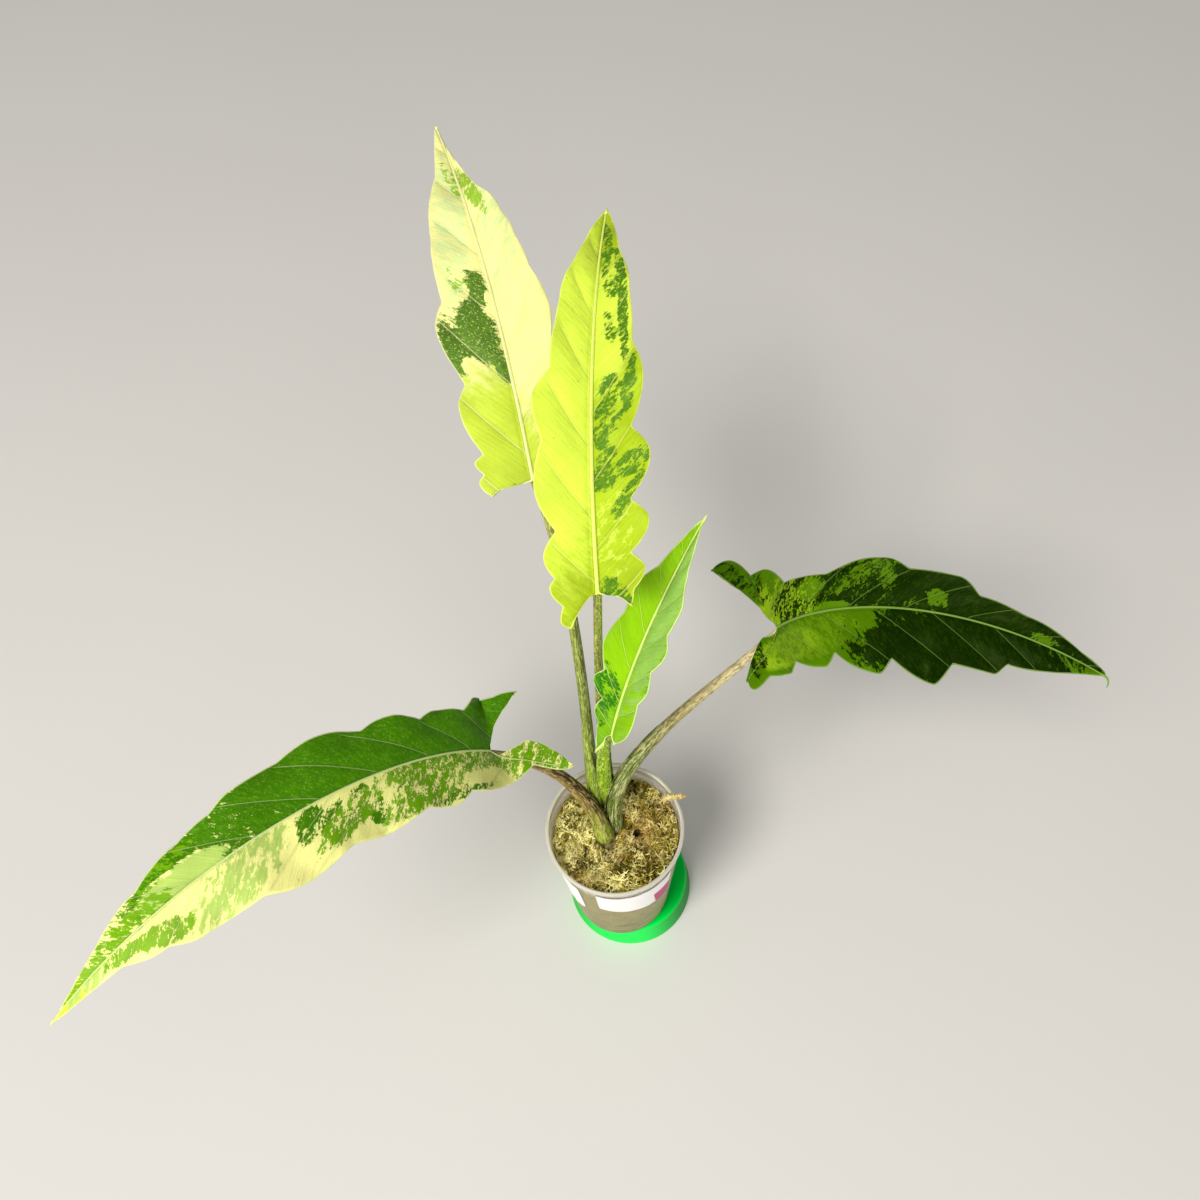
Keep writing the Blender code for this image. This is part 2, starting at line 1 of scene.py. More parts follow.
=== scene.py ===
import random
from math import atan2, cos, degrees, dist, exp, hypot, pi, radians, sin, sqrt, tau

import bpy
import numpy as np
from mathutils import Matrix, Vector, noise


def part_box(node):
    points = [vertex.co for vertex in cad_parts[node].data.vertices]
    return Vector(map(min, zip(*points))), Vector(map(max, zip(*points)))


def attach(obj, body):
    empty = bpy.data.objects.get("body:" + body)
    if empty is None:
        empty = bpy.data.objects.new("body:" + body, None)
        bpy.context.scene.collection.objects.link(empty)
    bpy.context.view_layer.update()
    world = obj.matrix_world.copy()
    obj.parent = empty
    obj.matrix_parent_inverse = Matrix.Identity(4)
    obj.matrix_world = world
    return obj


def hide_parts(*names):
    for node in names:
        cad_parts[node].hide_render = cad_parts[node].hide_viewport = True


# Looks of the potted alocasia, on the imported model. Shapes are worked out in millimetres
# from the point on the table under the axis of the cup, as in the source of the part.

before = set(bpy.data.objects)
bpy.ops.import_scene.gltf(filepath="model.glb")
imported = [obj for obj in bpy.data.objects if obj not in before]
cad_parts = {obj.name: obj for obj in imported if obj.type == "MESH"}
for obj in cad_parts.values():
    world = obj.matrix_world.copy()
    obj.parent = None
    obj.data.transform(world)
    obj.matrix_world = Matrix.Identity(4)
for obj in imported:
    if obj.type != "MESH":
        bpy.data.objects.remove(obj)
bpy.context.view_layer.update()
CUP_LOW, CUP_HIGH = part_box("cup")
AXIS = ((CUP_LOW + CUP_HIGH) / 2).to_2d()
SHIFT = np.array([AXIS.x, AXIS.y, 0.0])
MM = 0.001

# Sizes that the source of the part also has
CUP_FLOOR_Z = CUP_LOW.z / MM
RIM_Z = CUP_HIGH.z / MM
CUP_FOOT_RADIUS = 35.7
CUP_NECK_RADIUS = 46.0
CUP_WALL = 1.1
LIP_RADIUS = 47.5
LIP_HEIGHT = 3.6
DISH_CENTRE = (7.0, 10.7)
DISH_FOOT_RADIUS = 47.6
DISH_TOP_RADIUS = 44.8
DISH_HEIGHT = 27.2
DISH_WALL = 1.6
CROWN_TOP_Z = 151.5
GAP = 0.3
BLADE_THICKNESS = 0.9
HINGE_LENGTH = 12.0
LOBE_REACH = 60
SINUS_CLEARANCE = 3.6
SINUS_ROUND = 5.0
STICKER_FRONT = {"angles": (-23, 52), "low": (118, 102), "high": (157, 153), "corner": 1.5}
STICKER_SIDE = {"angles": (-84, -40), "low": (86, 90), "high": (156, 156), "corner": 9}

# The leaves, with the same values as in the source, and what only the looks need:
# - veins: forward lean at the base and its growth, spacing, first vein left and right
# - tone, dark, mid, flush: fields of colour. A patch is its place along and across the
#   midrib, its two half sizes, its turn in degrees and its strength. Across is above 0 on
#   the left half
# - colours: ground, second ground, dark marbling, bright patches, flush, veins, margin and
#   underside
# - strengths: of the light specks and the clouds in the marbling, of the veins, of the gloss
# - hook: length of the hook at the tip, how far it bends down, and how brown it is
# - skin: colours of the stalk's foot, middle, top, shaded side, speckles and pale flecks
# - skin_strengths: of the shaded side and of the speckles, their fineness and threshold, and
#   the share of the length where the colour of the foot ends
# - dark_side: direction of the darker side of the stalk
# - sheath: share of the stalk that it covers, how far it stands off, and the direction that
#   its open seam faces
# - slots: of the stalk and of the blade
LEAVES = {}
LEAVES["back"] = dict(
    foot=(-11, 12.5), foot_pull=(-1.5, 28.5, 85), top_pull=(-18.5, 30, 88), attach=(-24, 114, 420),
    tuck=0, radii=(4.2, 2.7), length=232, heading=(96, 8), rise=(40, 45), arch=1, roll=-15,
    fold=12, lobe_lift=-12, wave=(2.2, 52, 0.4), sinus=(0.25, 0.5),
    left=[(-5, 24), (4, 30), (8, 26), (15, 30), (19, 24), (48, 32), (59, 26), (95, 34), (109, 28),
        (149, 24), (190, 11)],
    right=[(-9, 17), (-3, 22), (20, 30), (32, 25), (54, 29), (66, 27), (86, 31.5), (111, 26),
        (131, 23), (150, 19), (172, 10)],
    taper=(0.8, 2), rib=1, veins=(1.1, 0.8, 38, 14, 30),
    tone=[(128, 16, 66, 40, 0, 1), (118, -16, 82, 40, 0, 1), (198, 0, 40, 16, 0, 1)],
    dark=[(83, 14, 18, 12, 12, 1), (80, 28, 18, 5, 6, 0.9), (64, 4, 9, 4, 20, 0.85),
        (110, 8, 11, 6, 5, 0.95), (97, 13, 9, 7, 30, 0.9), (100, 2.5, 7, 1.6, 0, -0.6),
        (112, 13, 3, 2, 0, -0.4), (66, 18, 7, 4, 40, -0.9)],
    mid=[(170, -6, 17, 3.6, 12, 0.62), (184, 3.4, 14, 2.2, 6, 0.5), (118, 16, 8, 4, 20, 0.42)],
    flush=[(150, 12, 46, 8, -8, 0.56), (122, -10, 22, 6, -30, 0.48), (150, -13, 30, 7, 8, 0.5),
        (190, 3, 20, 4, 0, 0.5)],
    colours="bcd03e eeed9a 4c7024 8cbc1c d8e89c eef0ac f2f6b0 c8d468".split(),
    strengths=(0.6, 0.3, 0.45, 0.2), hook=(3, 0.5, 0.9),
    skin="98b82c 8c983c 98984c 4c581c 46541a d0dc80".split(),
    skin_strengths=(0.7, 0.65, 1.2, 0.5, 0.25), dark_side=(1, -0.2, 0.1),
    sheath=(0.34, 0.6, (0.9, -0.3, 0.2)), slots=("stem_green", "leaf_cream"),
)
LEAVES["middle"] = dict(
    foot=(-3.8, 26.5), foot_pull=(2, 36, 100), top_pull=(3, -14, 85), attach=(5, 27, 440), tuck=0,
    radii=(3.3, 2.2), length=203, heading=(87.5, -10), rise=(50, 50), arch=1, roll=0, fold=12,
    lobe_lift=-8, wave=(2.4, 40, 0), sinus=(0.53, 0.4),
    left=[(-18, 15), (-13, 20), (-4, 18), (6, 24), (10, 21), (20, 26), (33, 19), (56, 29),
        (76, 24.5), (96, 29.5), (110, 21), (146, 18), (170, 12)],
    right=[(-6, 17), (2, 18.5), (13, 25), (21, 18), (38, 28), (47, 19), (69, 29.5), (82, 20),
        (106, 26), (124, 20), (153, 17), (176, 10)],
    taper=(0.8, 0.68), rib=1.05, veins=(0.9, 1.2, 33, 5, 22),
    tone=[(105, 18, 95, 30, 0, 1), (135, -8, 36, 14, 0, 0.8)],
    dark=[(3, -6, 5, 7, 10, 0.6), (-1, -14, 7, 2.5, 35, 0.58), (44, -14, 7, 3, -38, 0.58),
        (53, -20, 9, 2.4, -38, 0.56), (57, -6, 7, 5.5, -20, 0.6), (66, -22, 11, 4.5, -55, 0.57),
        (68, -8, 6, 3, -50, 0.54), (78, -5, 7, 4, 0, 0.57), (84, -12, 9, 2.2, -35, 0.53),
        (92, -7, 8, 4.5, -20, 0.56), (103, -9, 6, 5, -15, 0.53), (104, -19, 14, 3, -8, 0.6),
        (118, -16.5, 6, 1.6, 0, 0.52), (128, -9, 4, 3, 0, 0.5), (135, -7, 5, 2, 10, 0.48),
        (140, -14.5, 22, 2.4, 4, 0.64), (154, -8, 6, 3.6, 0, 0.54), (166, -11, 10, 2.2, 14, 0.58),
        (169, -3.5, 8, 2.4, 0, 0.54), (183, -3.2, 10, 2.2, 14, 0.54)],
    mid=[],
    flush=[(150, 8, 50, 7, 5, 0.3), (30, -10, 20, 8, 0, 0.4)],
    colours="a2bc1e cce446 467418 86ae1c c0d648 e4ee78 e8f080 a8c02c".split(),
    strengths=(0.5, 0.25, 0.4, 0.2), hook=(2.5, 0.6, 0.3),
    skin="a0bc20 909834 a0a444 788428 2c3808 ccd868".split(),
    skin_strengths=(0.5, 0.85, 1, 0.52, 0.2), dark_side=(1, -0.2, 0),
    sheath=(0.16, 0.6, (0.2, -1, 0.2)), slots=("stem_green", "leaf_lime"),
)
LEAVES["new"] = dict(
    foot=(-1, 17), foot_pull=(-5.9, 17.7, 50.4), top_pull=(6.6, -11.4, 22.4), attach=(5, 7, 310),
    tuck=0, radii=(4.2, 2.6), length=153, heading=(47, 0), rise=(74, 40), arch=1, roll=-8, fold=20,
    lobe_lift=0, wave=(1.5, 34, 0.2), sinus=(1.5, 1),
    left=[(-23, 8), (5, 10), (16, 14), (26, 11), (38, 19.5), (46, 15), (66, 20.5), (86, 16),
        (103, 16), (118, 10)],
    right=[(-6, 3), (27, 16.5), (41, 14.5), (56, 19), (65, 15), (82, 21), (90, 16), (104, 17),
        (118, 11)],
    taper=(0.82, 1.15), rib=0.95, veins=(1.2, 0.8, 25, 2, 17),
    tone=[(92, 9, 70, 14, 0, 0.95), (28, -8, 36, 12, 0, 0.9), (4, 4, 16, 5, 0, 0.5)],
    dark=[(34, 10, 14, 6.5, 8, 0.53), (38, 15, 7, 5, 60, 0.58), (13, 9, 8, 4, 0, 0.46),
        (46, 12, 7, 5, 40, 0.46)],
    mid=[(104, -8, 60, 14, 0, 1), (52, -13, 20, 7, 0, 0.55), (40, -3, 22, 2.6, 0, 0.5)],
    flush=[(108, -9, 40, 8, -10, 0.52), (60, -10, 10, 5, 0, 0.42)],
    colours="64a004 86bc08 1c6808 8cb84e b0cc8c dcf080 e0f0a0 9abc44".split(),
    strengths=(0.35, 0.22, 0.5, 0.2), hook=(2, 0.3, 0.1),
    skin="a8cc24 90b818 8cb41c 4c700e 34580a dcf070".split(),
    skin_strengths=(0.55, 0.85, 1.2, 0.49, 0.2), dark_side=(1, -0.1, 0),
    sheath=(0.8, 1.8, (1, -0.2, 0.1)), slots=("stem_green", "leaf_lime"),
)
LEAVES["right"] = dict(
    foot=(0.5, 6.3), foot_pull=(-9.2, 22.3, 68.2), top_pull=(40, 12, 52), attach=(110, 61, 320),
    tuck=0.9, radii=(5.2, 2.6), length=197, heading=(-17, -18), rise=(65, 80), arch=0.7, roll=28,
    fold=12, lobe_lift=45, wave=(2.2, 34, 0.1), sinus=(0.8, 3.9),
    left=[(-41, 38), (-30, 44), (-16, 32), (7, 35), (17, 22.5), (44, 21), (76, 28), (88, 22.5),
        (112, 22), (124, 14), (148, 11), (180, 5)],
    right=[(-20, 31), (-14, 36), (-7, 28), (6, 31), (17, 26), (38, 33), (47, 25.5), (77, 38),
        (85, 29), (112, 39.5), (120, 26), (143, 25), (148, 17.5), (174, 11)],
    taper=(0.43, 1), rib=0.62, veins=(1.2, 1, 33, 20, 2),
    tone=[(10, 8, 26, 18, 20, 0.6), (10, -16, 24, 10, 0, 0.55)],
    dark=[(128, -18, 62, 30, 0, 1), (92, -22, 26, 18, -10, 1), (74, -22, 8, 12, 30, 0.9),
        (66, -28, 12, 3, -38, 0.7), (138, 14, 78, 26, 0, 1), (64, 13, 30, 13, 0, 0.7),
        (24, 11, 19, 13, 20, 0.52), (-14, -16, 4, 12, 10, 0.52), (-30, 36, 13, 4, -45, 0.47),
        (-4, 26, 14, 9, 0, 0.44), (45, 2.5, 8, 1.8, 0, -0.9), (62, -6, 8, 5, -30, -0.7)],
    mid=[(104, 8, 4.5, 5.5, 70, 0.62), (160, 3, 8, 2.4, 0, 0.56), (33, 14, 8, 5, 20, 0.57),
        (60, 17, 18, 4, 25, 0.5), (77, 18, 4, 8, 0, 0.5), (45, 2.5, 8, 1.8, 0, 0.56),
        (10, 26, 5, 9, 0, 0.56)],
    flush=[(28, -14, 30, 12, 0, 0.5)],
    colours="487002 8eb01c 0c2000 4c7008 5c800c 7c9c44 80a04c 446c1c".split(),
    strengths=(0.08, 0.1, 0.32, 0.05), hook=(11, 3, 0.05),
    skin="647a26 b09c64 e8d4a4 4c4a24 403a1c d8d49c".split(),
    skin_strengths=(0.5, 0.7, 0.95, 0.51, 0.5), dark_side=(-0.4, -0.3, -0.6),
    sheath=(0.52, 0.8, (-0.7, -0.5, 0.5)), slots=("stem_brown", "leaf_green"),
)
LEAVES["left"] = dict(
    foot=(-6.6, -3.5), foot_pull=(-5.5, 27, 46), top_pull=(-33, -7.5, 31), attach=(-72, 24, 265),
    tuck=0.9, radii=(5.8, 2.7), length=309, heading=(-147.5, 5), rise=(60, 90), arch=1, roll=-20,
    fold=12, lobe_lift=45, wave=(2, 50, 0.3), sinus=(4.5, 0.6),
    left=[(-45, 34), (-22, 20), (34, 29), (42, 27), (57, 33), (82, 30), (108, 34.5), (132, 31),
        (162, 36), (185, 29), (218, 26), (237, 18), (261, 9)],
    right=[(-36, 27), (-20, 31), (3, 35), (22, 25), (45, 27), (58, 23), (84, 29), (97, 26),
        (126, 32), (145, 29), (170, 28), (185, 24), (206, 21), (233, 15), (262, 9)],
    taper=(0.7, 1.3), rib=0.7, veins=(1.8, 0.3, 38, 12, 18),
    tone=[(298, 0, 16, 12, 0, 0.9)],
    dark=[(70, -16, 150, 34, 0, 1), (212, -15, 34, 6, 8, 1), (236, -6, 8, 4, 20, 0.62),
        (252, -5, 16, 3.4, 0, 0.6), (-26, 22, 26, 16, -40, 0.56), (18, 6, 30, 8, 0, 0.56),
        (30, 25, 22, 2.5, 12, 0.54), (62, 22, 20, 8, 12, 0.56), (66, 8, 30, 9, 0, 0.56),
        (88, 24, 14, 6, 15, 0.56), (108, 20, 5, 8, -40, 0.54), (112, 8, 7, 5, 30, 0.56),
        (126, 19, 18, 5, 20, 0.58), (136, 12, 12, 4, 25, 0.57), (144, 6, 8, 5, 10, 0.66),
        (150, 12, 7, 4, 60, 0.54), (96, 7, 7, 4.5, 0, -0.85), (44, 15, 4, 5, -50, -0.7),
        (20, 18, 24, 4.2, 2, -0.85), (207, -5.5, 15, 5.5, -4, -1), (224, -6, 10, 5.5, 0, -1)],
    mid=[(236, 10, 16, 5, -14, 0.66), (230, 15, 10, 4, -10, 0.62), (256, 5, 12, 3.4, -8, 0.62),
        (272, -4, 32, 6, 0, 0.62), (222, -15, 22, 3.4, 8, 0.5), (44, 6, 52, 8, 0, 0.53),
        (72, 20, 30, 9, 10, 0.5), (124, 16, 24, 7, 20, 0.51), (-24, 20, 24, 14, -40, 0.52),
        (240, -4, 18, 5, 0, 0.52)],
    flush=[(190, 13, 30, 12, 15, 0.56), (212, -5, 30, 8, 0, 0.9), (106, 24, 8, 5, 0, 0.5),
        (280, 3, 20, 3, 0, 0.6)],
    colours="f6f498 e2ea30 3e7806 70a80a b4d068 d4e898 e8f0a4 a4c050".split(),
    strengths=(0.12, 0.3, 0.3, 0.08), hook=(3, 0.6, 0.3),
    skin="88a424 7c6830 b08c54 2c1c08 2c2008 ccb478".split(),
    skin_strengths=(0.9, 0.7, 1.1, 0.53, 0.2), dark_side=(0.6, 0.3, 0.9),
    sheath=(0.45, 0.6, (0.8, 0.3, 0.5)), slots=("stem_brown", "leaf_green"),
)
SIDES = ("left", "right")


def linear(code):
    """Linear colour from a six-digit code as painted on a screen."""
    parts = [int(code[i:i + 2], 16) / 255 for i in (0, 2, 4)]
    return tuple(p / 12.92 if p <= 0.04045 else ((p + 0.055) / 1.055) ** 2.4 for p in parts)


def ease(low, high, x):
    """Smooth step from 0 to 1."""
    t = np.clip((np.asarray(x, float) - low) / (high - low), 0.0, 1.0)
    return t * t * (3 - 2 * t)


def unit(vectors):
    """The same directions with a length of 1. The last axis holds x, y and z."""
    vectors = np.asarray(vectors, float)
    return vectors / np.maximum(1e-9, np.linalg.norm(vectors, axis=-1, keepdims=True))


def compass(angle, rise=0.0):
    """Direction at an angle seen from above, with a rise."""
    return np.array([cos(angle), sin(angle), rise])


def around(radius, angle):
    """Point at a distance and an angle from the axis, seen from above."""
    return radius * cos(angle), radius * sin(angle)


def sample(at, places, table):
    """Points between the rows of a table of points."""
    return np.stack([np.interp(at, places, table[:, k]) for k in range(3)], -1)


def lump(x, y, z, size):
    """Smooth noise with lumps of a size in mm."""
    return noise.noise(Vector((x, y, z)) / size)


# Meshes


def add_object(name, data):
    item = bpy.data.objects.new(name, data)
    bpy.context.scene.collection.objects.link(item)
    return item


class Sheet:
    """Collects points, faces and the named values that the materials read at each point."""

    def __init__(self, *names):
        self.points = []
        self.faces = []
        self.values = {name: [] for name in names}
        self.count = 0

    def add(self, points, faces, **values):
        points = np.asarray(points, float).reshape(-1, 3)
        self.points.append(points)
        self.faces += [tuple(int(i) + self.count for i in face) for face in faces]
        for name, stored in self.values.items():
            stored.append(np.broadcast_to(np.ravel(values.get(name, 0.0)), (len(points),)))
        self.count += len(points)

    def tube(self, path, radii, sides, **values):
        points, faces, _, _ = tube(path, radii, sides)
        self.add(points, faces, **values)

    def piece(self, name, material, slot, *nodes):
        """Make the object, in metres, hang it on the root, and hide the parts of the model that it
        stands for.
        """
        mesh = bpy.data.meshes.new(name)
        points = np.concatenate(self.points) * MM + SHIFT
        mesh.from_pydata(points.tolist(), [], self.faces)
        mesh.shade_smooth()
        for key, stored in self.values.items():
            data = mesh.attributes.new(key, "FLOAT", "POINT").data
            data.foreach_set("value", np.concatenate(stored).astype(np.float32))
        mesh.validate()
        mesh.materials.append(material)
        item = add_object(name, mesh)
        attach(item, "root")
        if nodes:
            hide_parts(*nodes)


def grid_faces(index, wrap=False):
    """Quads between the rows and columns of an index table."""
    index = np.asarray(index)
    if wrap:
        index = np.hstack([index, index[:, :1]])
    a, b, c, d = index[:-1, :-1], index[:-1, 1:], index[1:, 1:], index[1:, :-1]
    return np.stack([a, b, c, d], -1).reshape(-1, 4)


def thicken(points, faces, above, below):
    """A closed solid from a sheet: its upper face, its lower face and the wall between."""
    count = len(points)
    corner = points[faces]
    face_normal = np.cross(corner[:, 2] - corner[:, 0], corner[:, 3] - corner[:, 1])
    normals = np.zeros_like(points)
    for k in range(4):
        np.add.at(normals, faces[:, k], face_normal)
    normals = unit(normals)
    above, below = (np.broadcast_to(part, (count,))[:, None] for part in (above, below))
    solid = np.concatenate([points + normals * above, points - normals * below])
    directed = set()
    for face in faces.tolist():
        directed.update(zip(face, face[1:] + face[:1]))
    border = sorted((a, b) for a, b in directed if (b, a) not in directed)
    walls = [(a, a + count, b + count, b) for a, b in border]
    return solid, faces.tolist() + (faces[:, ::-1] + count).tolist() + walls


def barrel(rings, start, end):
    """A closed body from rings of points and the middles of its two ends."""
    count, sides = rings.shape[:2]
    index = np.arange(count * sides).reshape(count, sides)
    faces = grid_faces(index, wrap=True)[:, ::-1].tolist()
    middle = count * sides
    for k in range(sides):
        follow = (k + 1) % sides
        faces.append((middle, index[0, k], index[0, follow]))
        faces.append((middle + 1, index[-1, follow], index[-1, k]))
    return np.concatenate([rings.reshape(-1, 3), [start, end]]), faces


def tube(path, radii, sides, form=np.ones_like):
    """A closed tube along a path, round or of another form. Returns points, faces, share
    along and angle."""
    path = np.asarray(path, float)
    count = len(path)
    along = unit(np.gradient(path, axis=0))
    last = np.cross(along[0], (0.0, 0.0, 1.0))
    if np.linalg.norm(last) < 0.1:
        last = np.array([1.0, 0.0, 0.0])
    across = []
    for ahead in along:
        last = unit(last - ahead * (last @ ahead))
        across.append(last)
    across = np.array(across)
    over = np.cross(along, across)
    turn = np.arange(sides) * tau / sides
    reach = np.broadcast_to(radii, (count,))[:, None] * form(turn)
    rings = path[:, None] + across[:, None] * (reach * np.cos(turn))[..., None]
    rings = rings + over[:, None] * (reach * np.sin(turn))[..., None]
    share = np.append(np.repeat(np.linspace(0, 1, count), sides), [0.0, 1.0])
    angle = np.append(np.tile(turn, count), [0.0, 0.0])
    return *barrel(rings, path[0], path[-1]), share, angle


def turned(profile, segments, centre=(0.0, 0.0)):
    """Rings of points from a profile of radii and heights, turned about an upright axis."""
    profile = np.asarray(profile, float)
    turn = np.arange(segments) * tau / segments
    x = profile[:, :1] * np.cos(turn) + centre[0]
    y = profile[:, :1] * np.sin(turn) + centre[1]
    return np.stack([x, y, np.repeat(profile[:, 1:], segments, axis=1)], -1)


def lathe(profile, segments, centre=(0.0, 0.0)):
    """A turned body from a profile that starts and ends on the axis."""
    start, end = ((*centre, profile[k][1]) for k in (0, -1))
    return barrel(turned(profile[1:-1], segments, centre), start, end)


def arc(centre_r, centre_z, radius, start, end, steps):
    angles = np.radians(np.linspace(start, end, steps + 1))
    return [(centre_r + radius * cos(a), centre_z + radius * sin(a)) for a in angles]


def stretch(start, end, steps):
    """Points on the straight line between two profile points, without its ends."""
    shares = np.linspace(0, 1, steps + 1)[1:-1]
    return [tuple(np.array(start) * (1 - t) + np.array(end) * t) for t in shares]


# Materials


class Paint:
    """A node material, built by short calls. Colours are six-digit codes."""

    def __init__(self, name):
        self.material = bpy.data.materials.new(name)
        self.material.use_nodes = True
        self.tree = self.material.node_tree
        self.shader = self.tree.nodes["Principled BSDF"]

    def put(self, socket, value):
        if isinstance(value, bpy.types.NodeSocket):
            self.tree.links.new(value, socket)
            return
        if isinstance(value, str):
            value = linear(value)
        socket.default_value = (*value, 1.0) if socket.type == "RGBA" else value

    def set(self, **values):
        """Set or link the shader's own sockets."""
        for name, value in values.items():
            self.put(self.shader.inputs[name.replace("_", " ")], value)

    def node(self, kind, values=(), **settings):
        node = self.tree.nodes.new("ShaderNode" + kind)
        for name, value in settings.items():
            setattr(node, name, value)
        for key, value in dict(values).items():
            self.put(node.inputs[key], value)
        return node

    def read(self, name):
        return self.node("Attribute", attribute_name=name).outputs["Fac"]

    def math(self, operation, a, b=0.0, c=0.0):
        return self.node("Math", {0: a, 1: b, 2: c}, operation=operation).outputs[0]

    def times(self, a, b):
        return self.math("MULTIPLY", a, b)

    def fit(self, a, b, c):
        """a times b plus c."""
        return self.math("MULTIPLY_ADD", a, b, c)

    def step(self, value, low, high):
        """Smooth step of a value from 0 at low to 1 at high."""
        values = {"Value": value, "From Min": low, "From Max": high}
        return self.node("MapRange", values, interpolation_type="SMOOTHSTEP").outputs[0]

    def mix(self, a, b, mask, share=1, **settings):
        """Colour b over colour a, as far as a mask says, times a share."""
        values = {0: mask if share == 1 else self.times(mask, share), 6: a, 7: b}
        return self.node("Mix", values, data_type="RGBA", **settings).outputs[2]

    def shade(self, colour, factor):
        """Darker or lighter by a factor."""
        grey = self.node("CombineColor", {0: factor, 1: factor, 2: factor}).outputs[0]
        return self.mix(colour, grey, 1.0, blend_type="MULTIPLY")

    def vector(self, *parts, by=(1, 1, 1)):
        parts = [part if k == 1 else self.times(part, k) for part, k in zip(parts, by)]
        return self.node("CombineXYZ", enumerate(parts)).outputs[0]

    def place(self):
        return self.node("TexCoord").outputs["Object"]

    def noise(self, vector, scale, detail=3.0, roughness=0.55, distortion=0.0):
        values = {"Vector": vector, "Scale": scale, "Detail": detail, "Roughness": roughness,
                  "Distortion": distortion}
        return self.node("TexNoise", values).outputs["Fac"]

    def swing(self, *values):
        """Noise that swings about 0."""
        return self.math("SUBTRACT", self.noise(*values), 0.5)

    def finish(self, colour, roughness, relief, depth, strength, **values):
        """Set the shader, with a relief of a depth in mm, and give the material."""
        bumps = {"Height": relief, "Distance": depth * MM, "Strength": strength}
        normal = self.node("Bump", bumps).outputs[0]
        self.set(Base_Color=colour, Roughness=roughness, Normal=normal, **values)
        return self.material


def leaf_material(key, leaf):
    """Marbled leaf: fields of colour with ragged edges, veins, midrib and pale margin."""
    ground, second, dark, bright, flush, pale, margin, below = leaf["colours"]
    speck_share, cloud_share, vein_share, gloss = leaf["strengths"]
    p = Paint("leaf_" + key)
    grain = [p.read(name) for name in ("grain_along", "grain_across", "half")]
    streaks = p.vector(*grain, by=(0.11, 0.26, 1))
    fine = p.vector(*grain, by=(0.42, 0.8, 1))
    flat = p.vector(*grain)
    ragged = p.swing(streaks, 1, 6, 0.62, 0.35)
    grit = p.swing(fine, 1, 4, 0.7)
    slow = p.swing(flat, 0.035, 2)
    hair = p.swing(p.vector(*grain, by=(0.04, 1.1, 1)), 1, 3, 0.6)

    def field(name, wild, gritty):
        return p.fit(grit, gritty, p.fit(ragged, wild, p.read(name)))

    base = p.mix(ground, second, p.step(field("tone", 0.8, 0.2), 0.25, 0.75))
    base = p.mix(base, flush, p.step(field("flush", 1.8, 0.9), 0.4, 0.6))
    marbled = field("dark", 1.7, 1.5)
    half_tone = p.mix(base, dark, 0.45)
    body = p.mix(base, half_tone, p.step(marbled, 0.38, 0.42), 0.8)
    cloud = p.step(p.noise(streaks, 2.3, 3), 0.42, 0.75)
    deep = p.mix(dark, bright, cloud, cloud_share)
    specks = p.step(p.noise(fine, 1.7, 3, 0.6), 0.58, 0.66)
    deep = p.mix(deep, base, specks, speck_share)
    body = p.mix(body, deep, p.step(marbled, 0.48, 0.52))
    body = p.mix(body, bright, p.step(field("mid", 1.7, 1.4), 0.46, 0.52), 0.92)
    body = p.shade(body, p.fit(grit, 0.25, p.fit(hair, 0.5, p.fit(slow, 0.6, 1))))

    phase = p.math("FRACT", p.read("phase"))
    near = p.math("SUBTRACT", 0.5, p.math("ABSOLUTE", p.math("SUBTRACT", phase, 0.5)))
    reach = p.read("vein_reach")
    vein = p.times(p.step(near, 0.024, 0.007), reach)
    beside = p.times(p.step(near, 0.09, 0.02), reach)
    rib = p.step(p.read("rib"), 0.95, 0.6)
    groove = p.step(p.read("rib"), 2.1, 1.0)
    painted_furrow_shade = p.math("MAXIMUM", groove, p.times(beside, 0.4))
    under = p.read("under")
    # painted shade: darker in the groove beside the midrib and along the veins, where the sunken
    # furrows lie
    body = p.shade(body, p.fit(painted_furrow_shade, -0.3, 1))
    body = p.mix(body, pale, vein, vein_share)
    body = p.mix(body, pale, rib, 0.85)
    body = p.mix(body, margin, p.step(p.read("edge"), 0.75, 0.35), 0.7)
    body = p.mix(body, below, under, 0.5)
    body = p.mix(body, "6b4a1e", p.read("tip"))
    rough = p.fit(p.noise(flat, 0.3, 3), 0.16, 0.3)
    relief = p.fit(hair, 0.8, p.fit(rib, 0.6, p.fit(vein, -0.5, p.noise(fine, 1, 3))))
    return p.finish(body, p.fit(under, 0.18, rough), relief, 0.3, 0.6,
                    Specular_IOR_Level=gloss, Specular_Tint=(0.7, 1.0, 0.3))


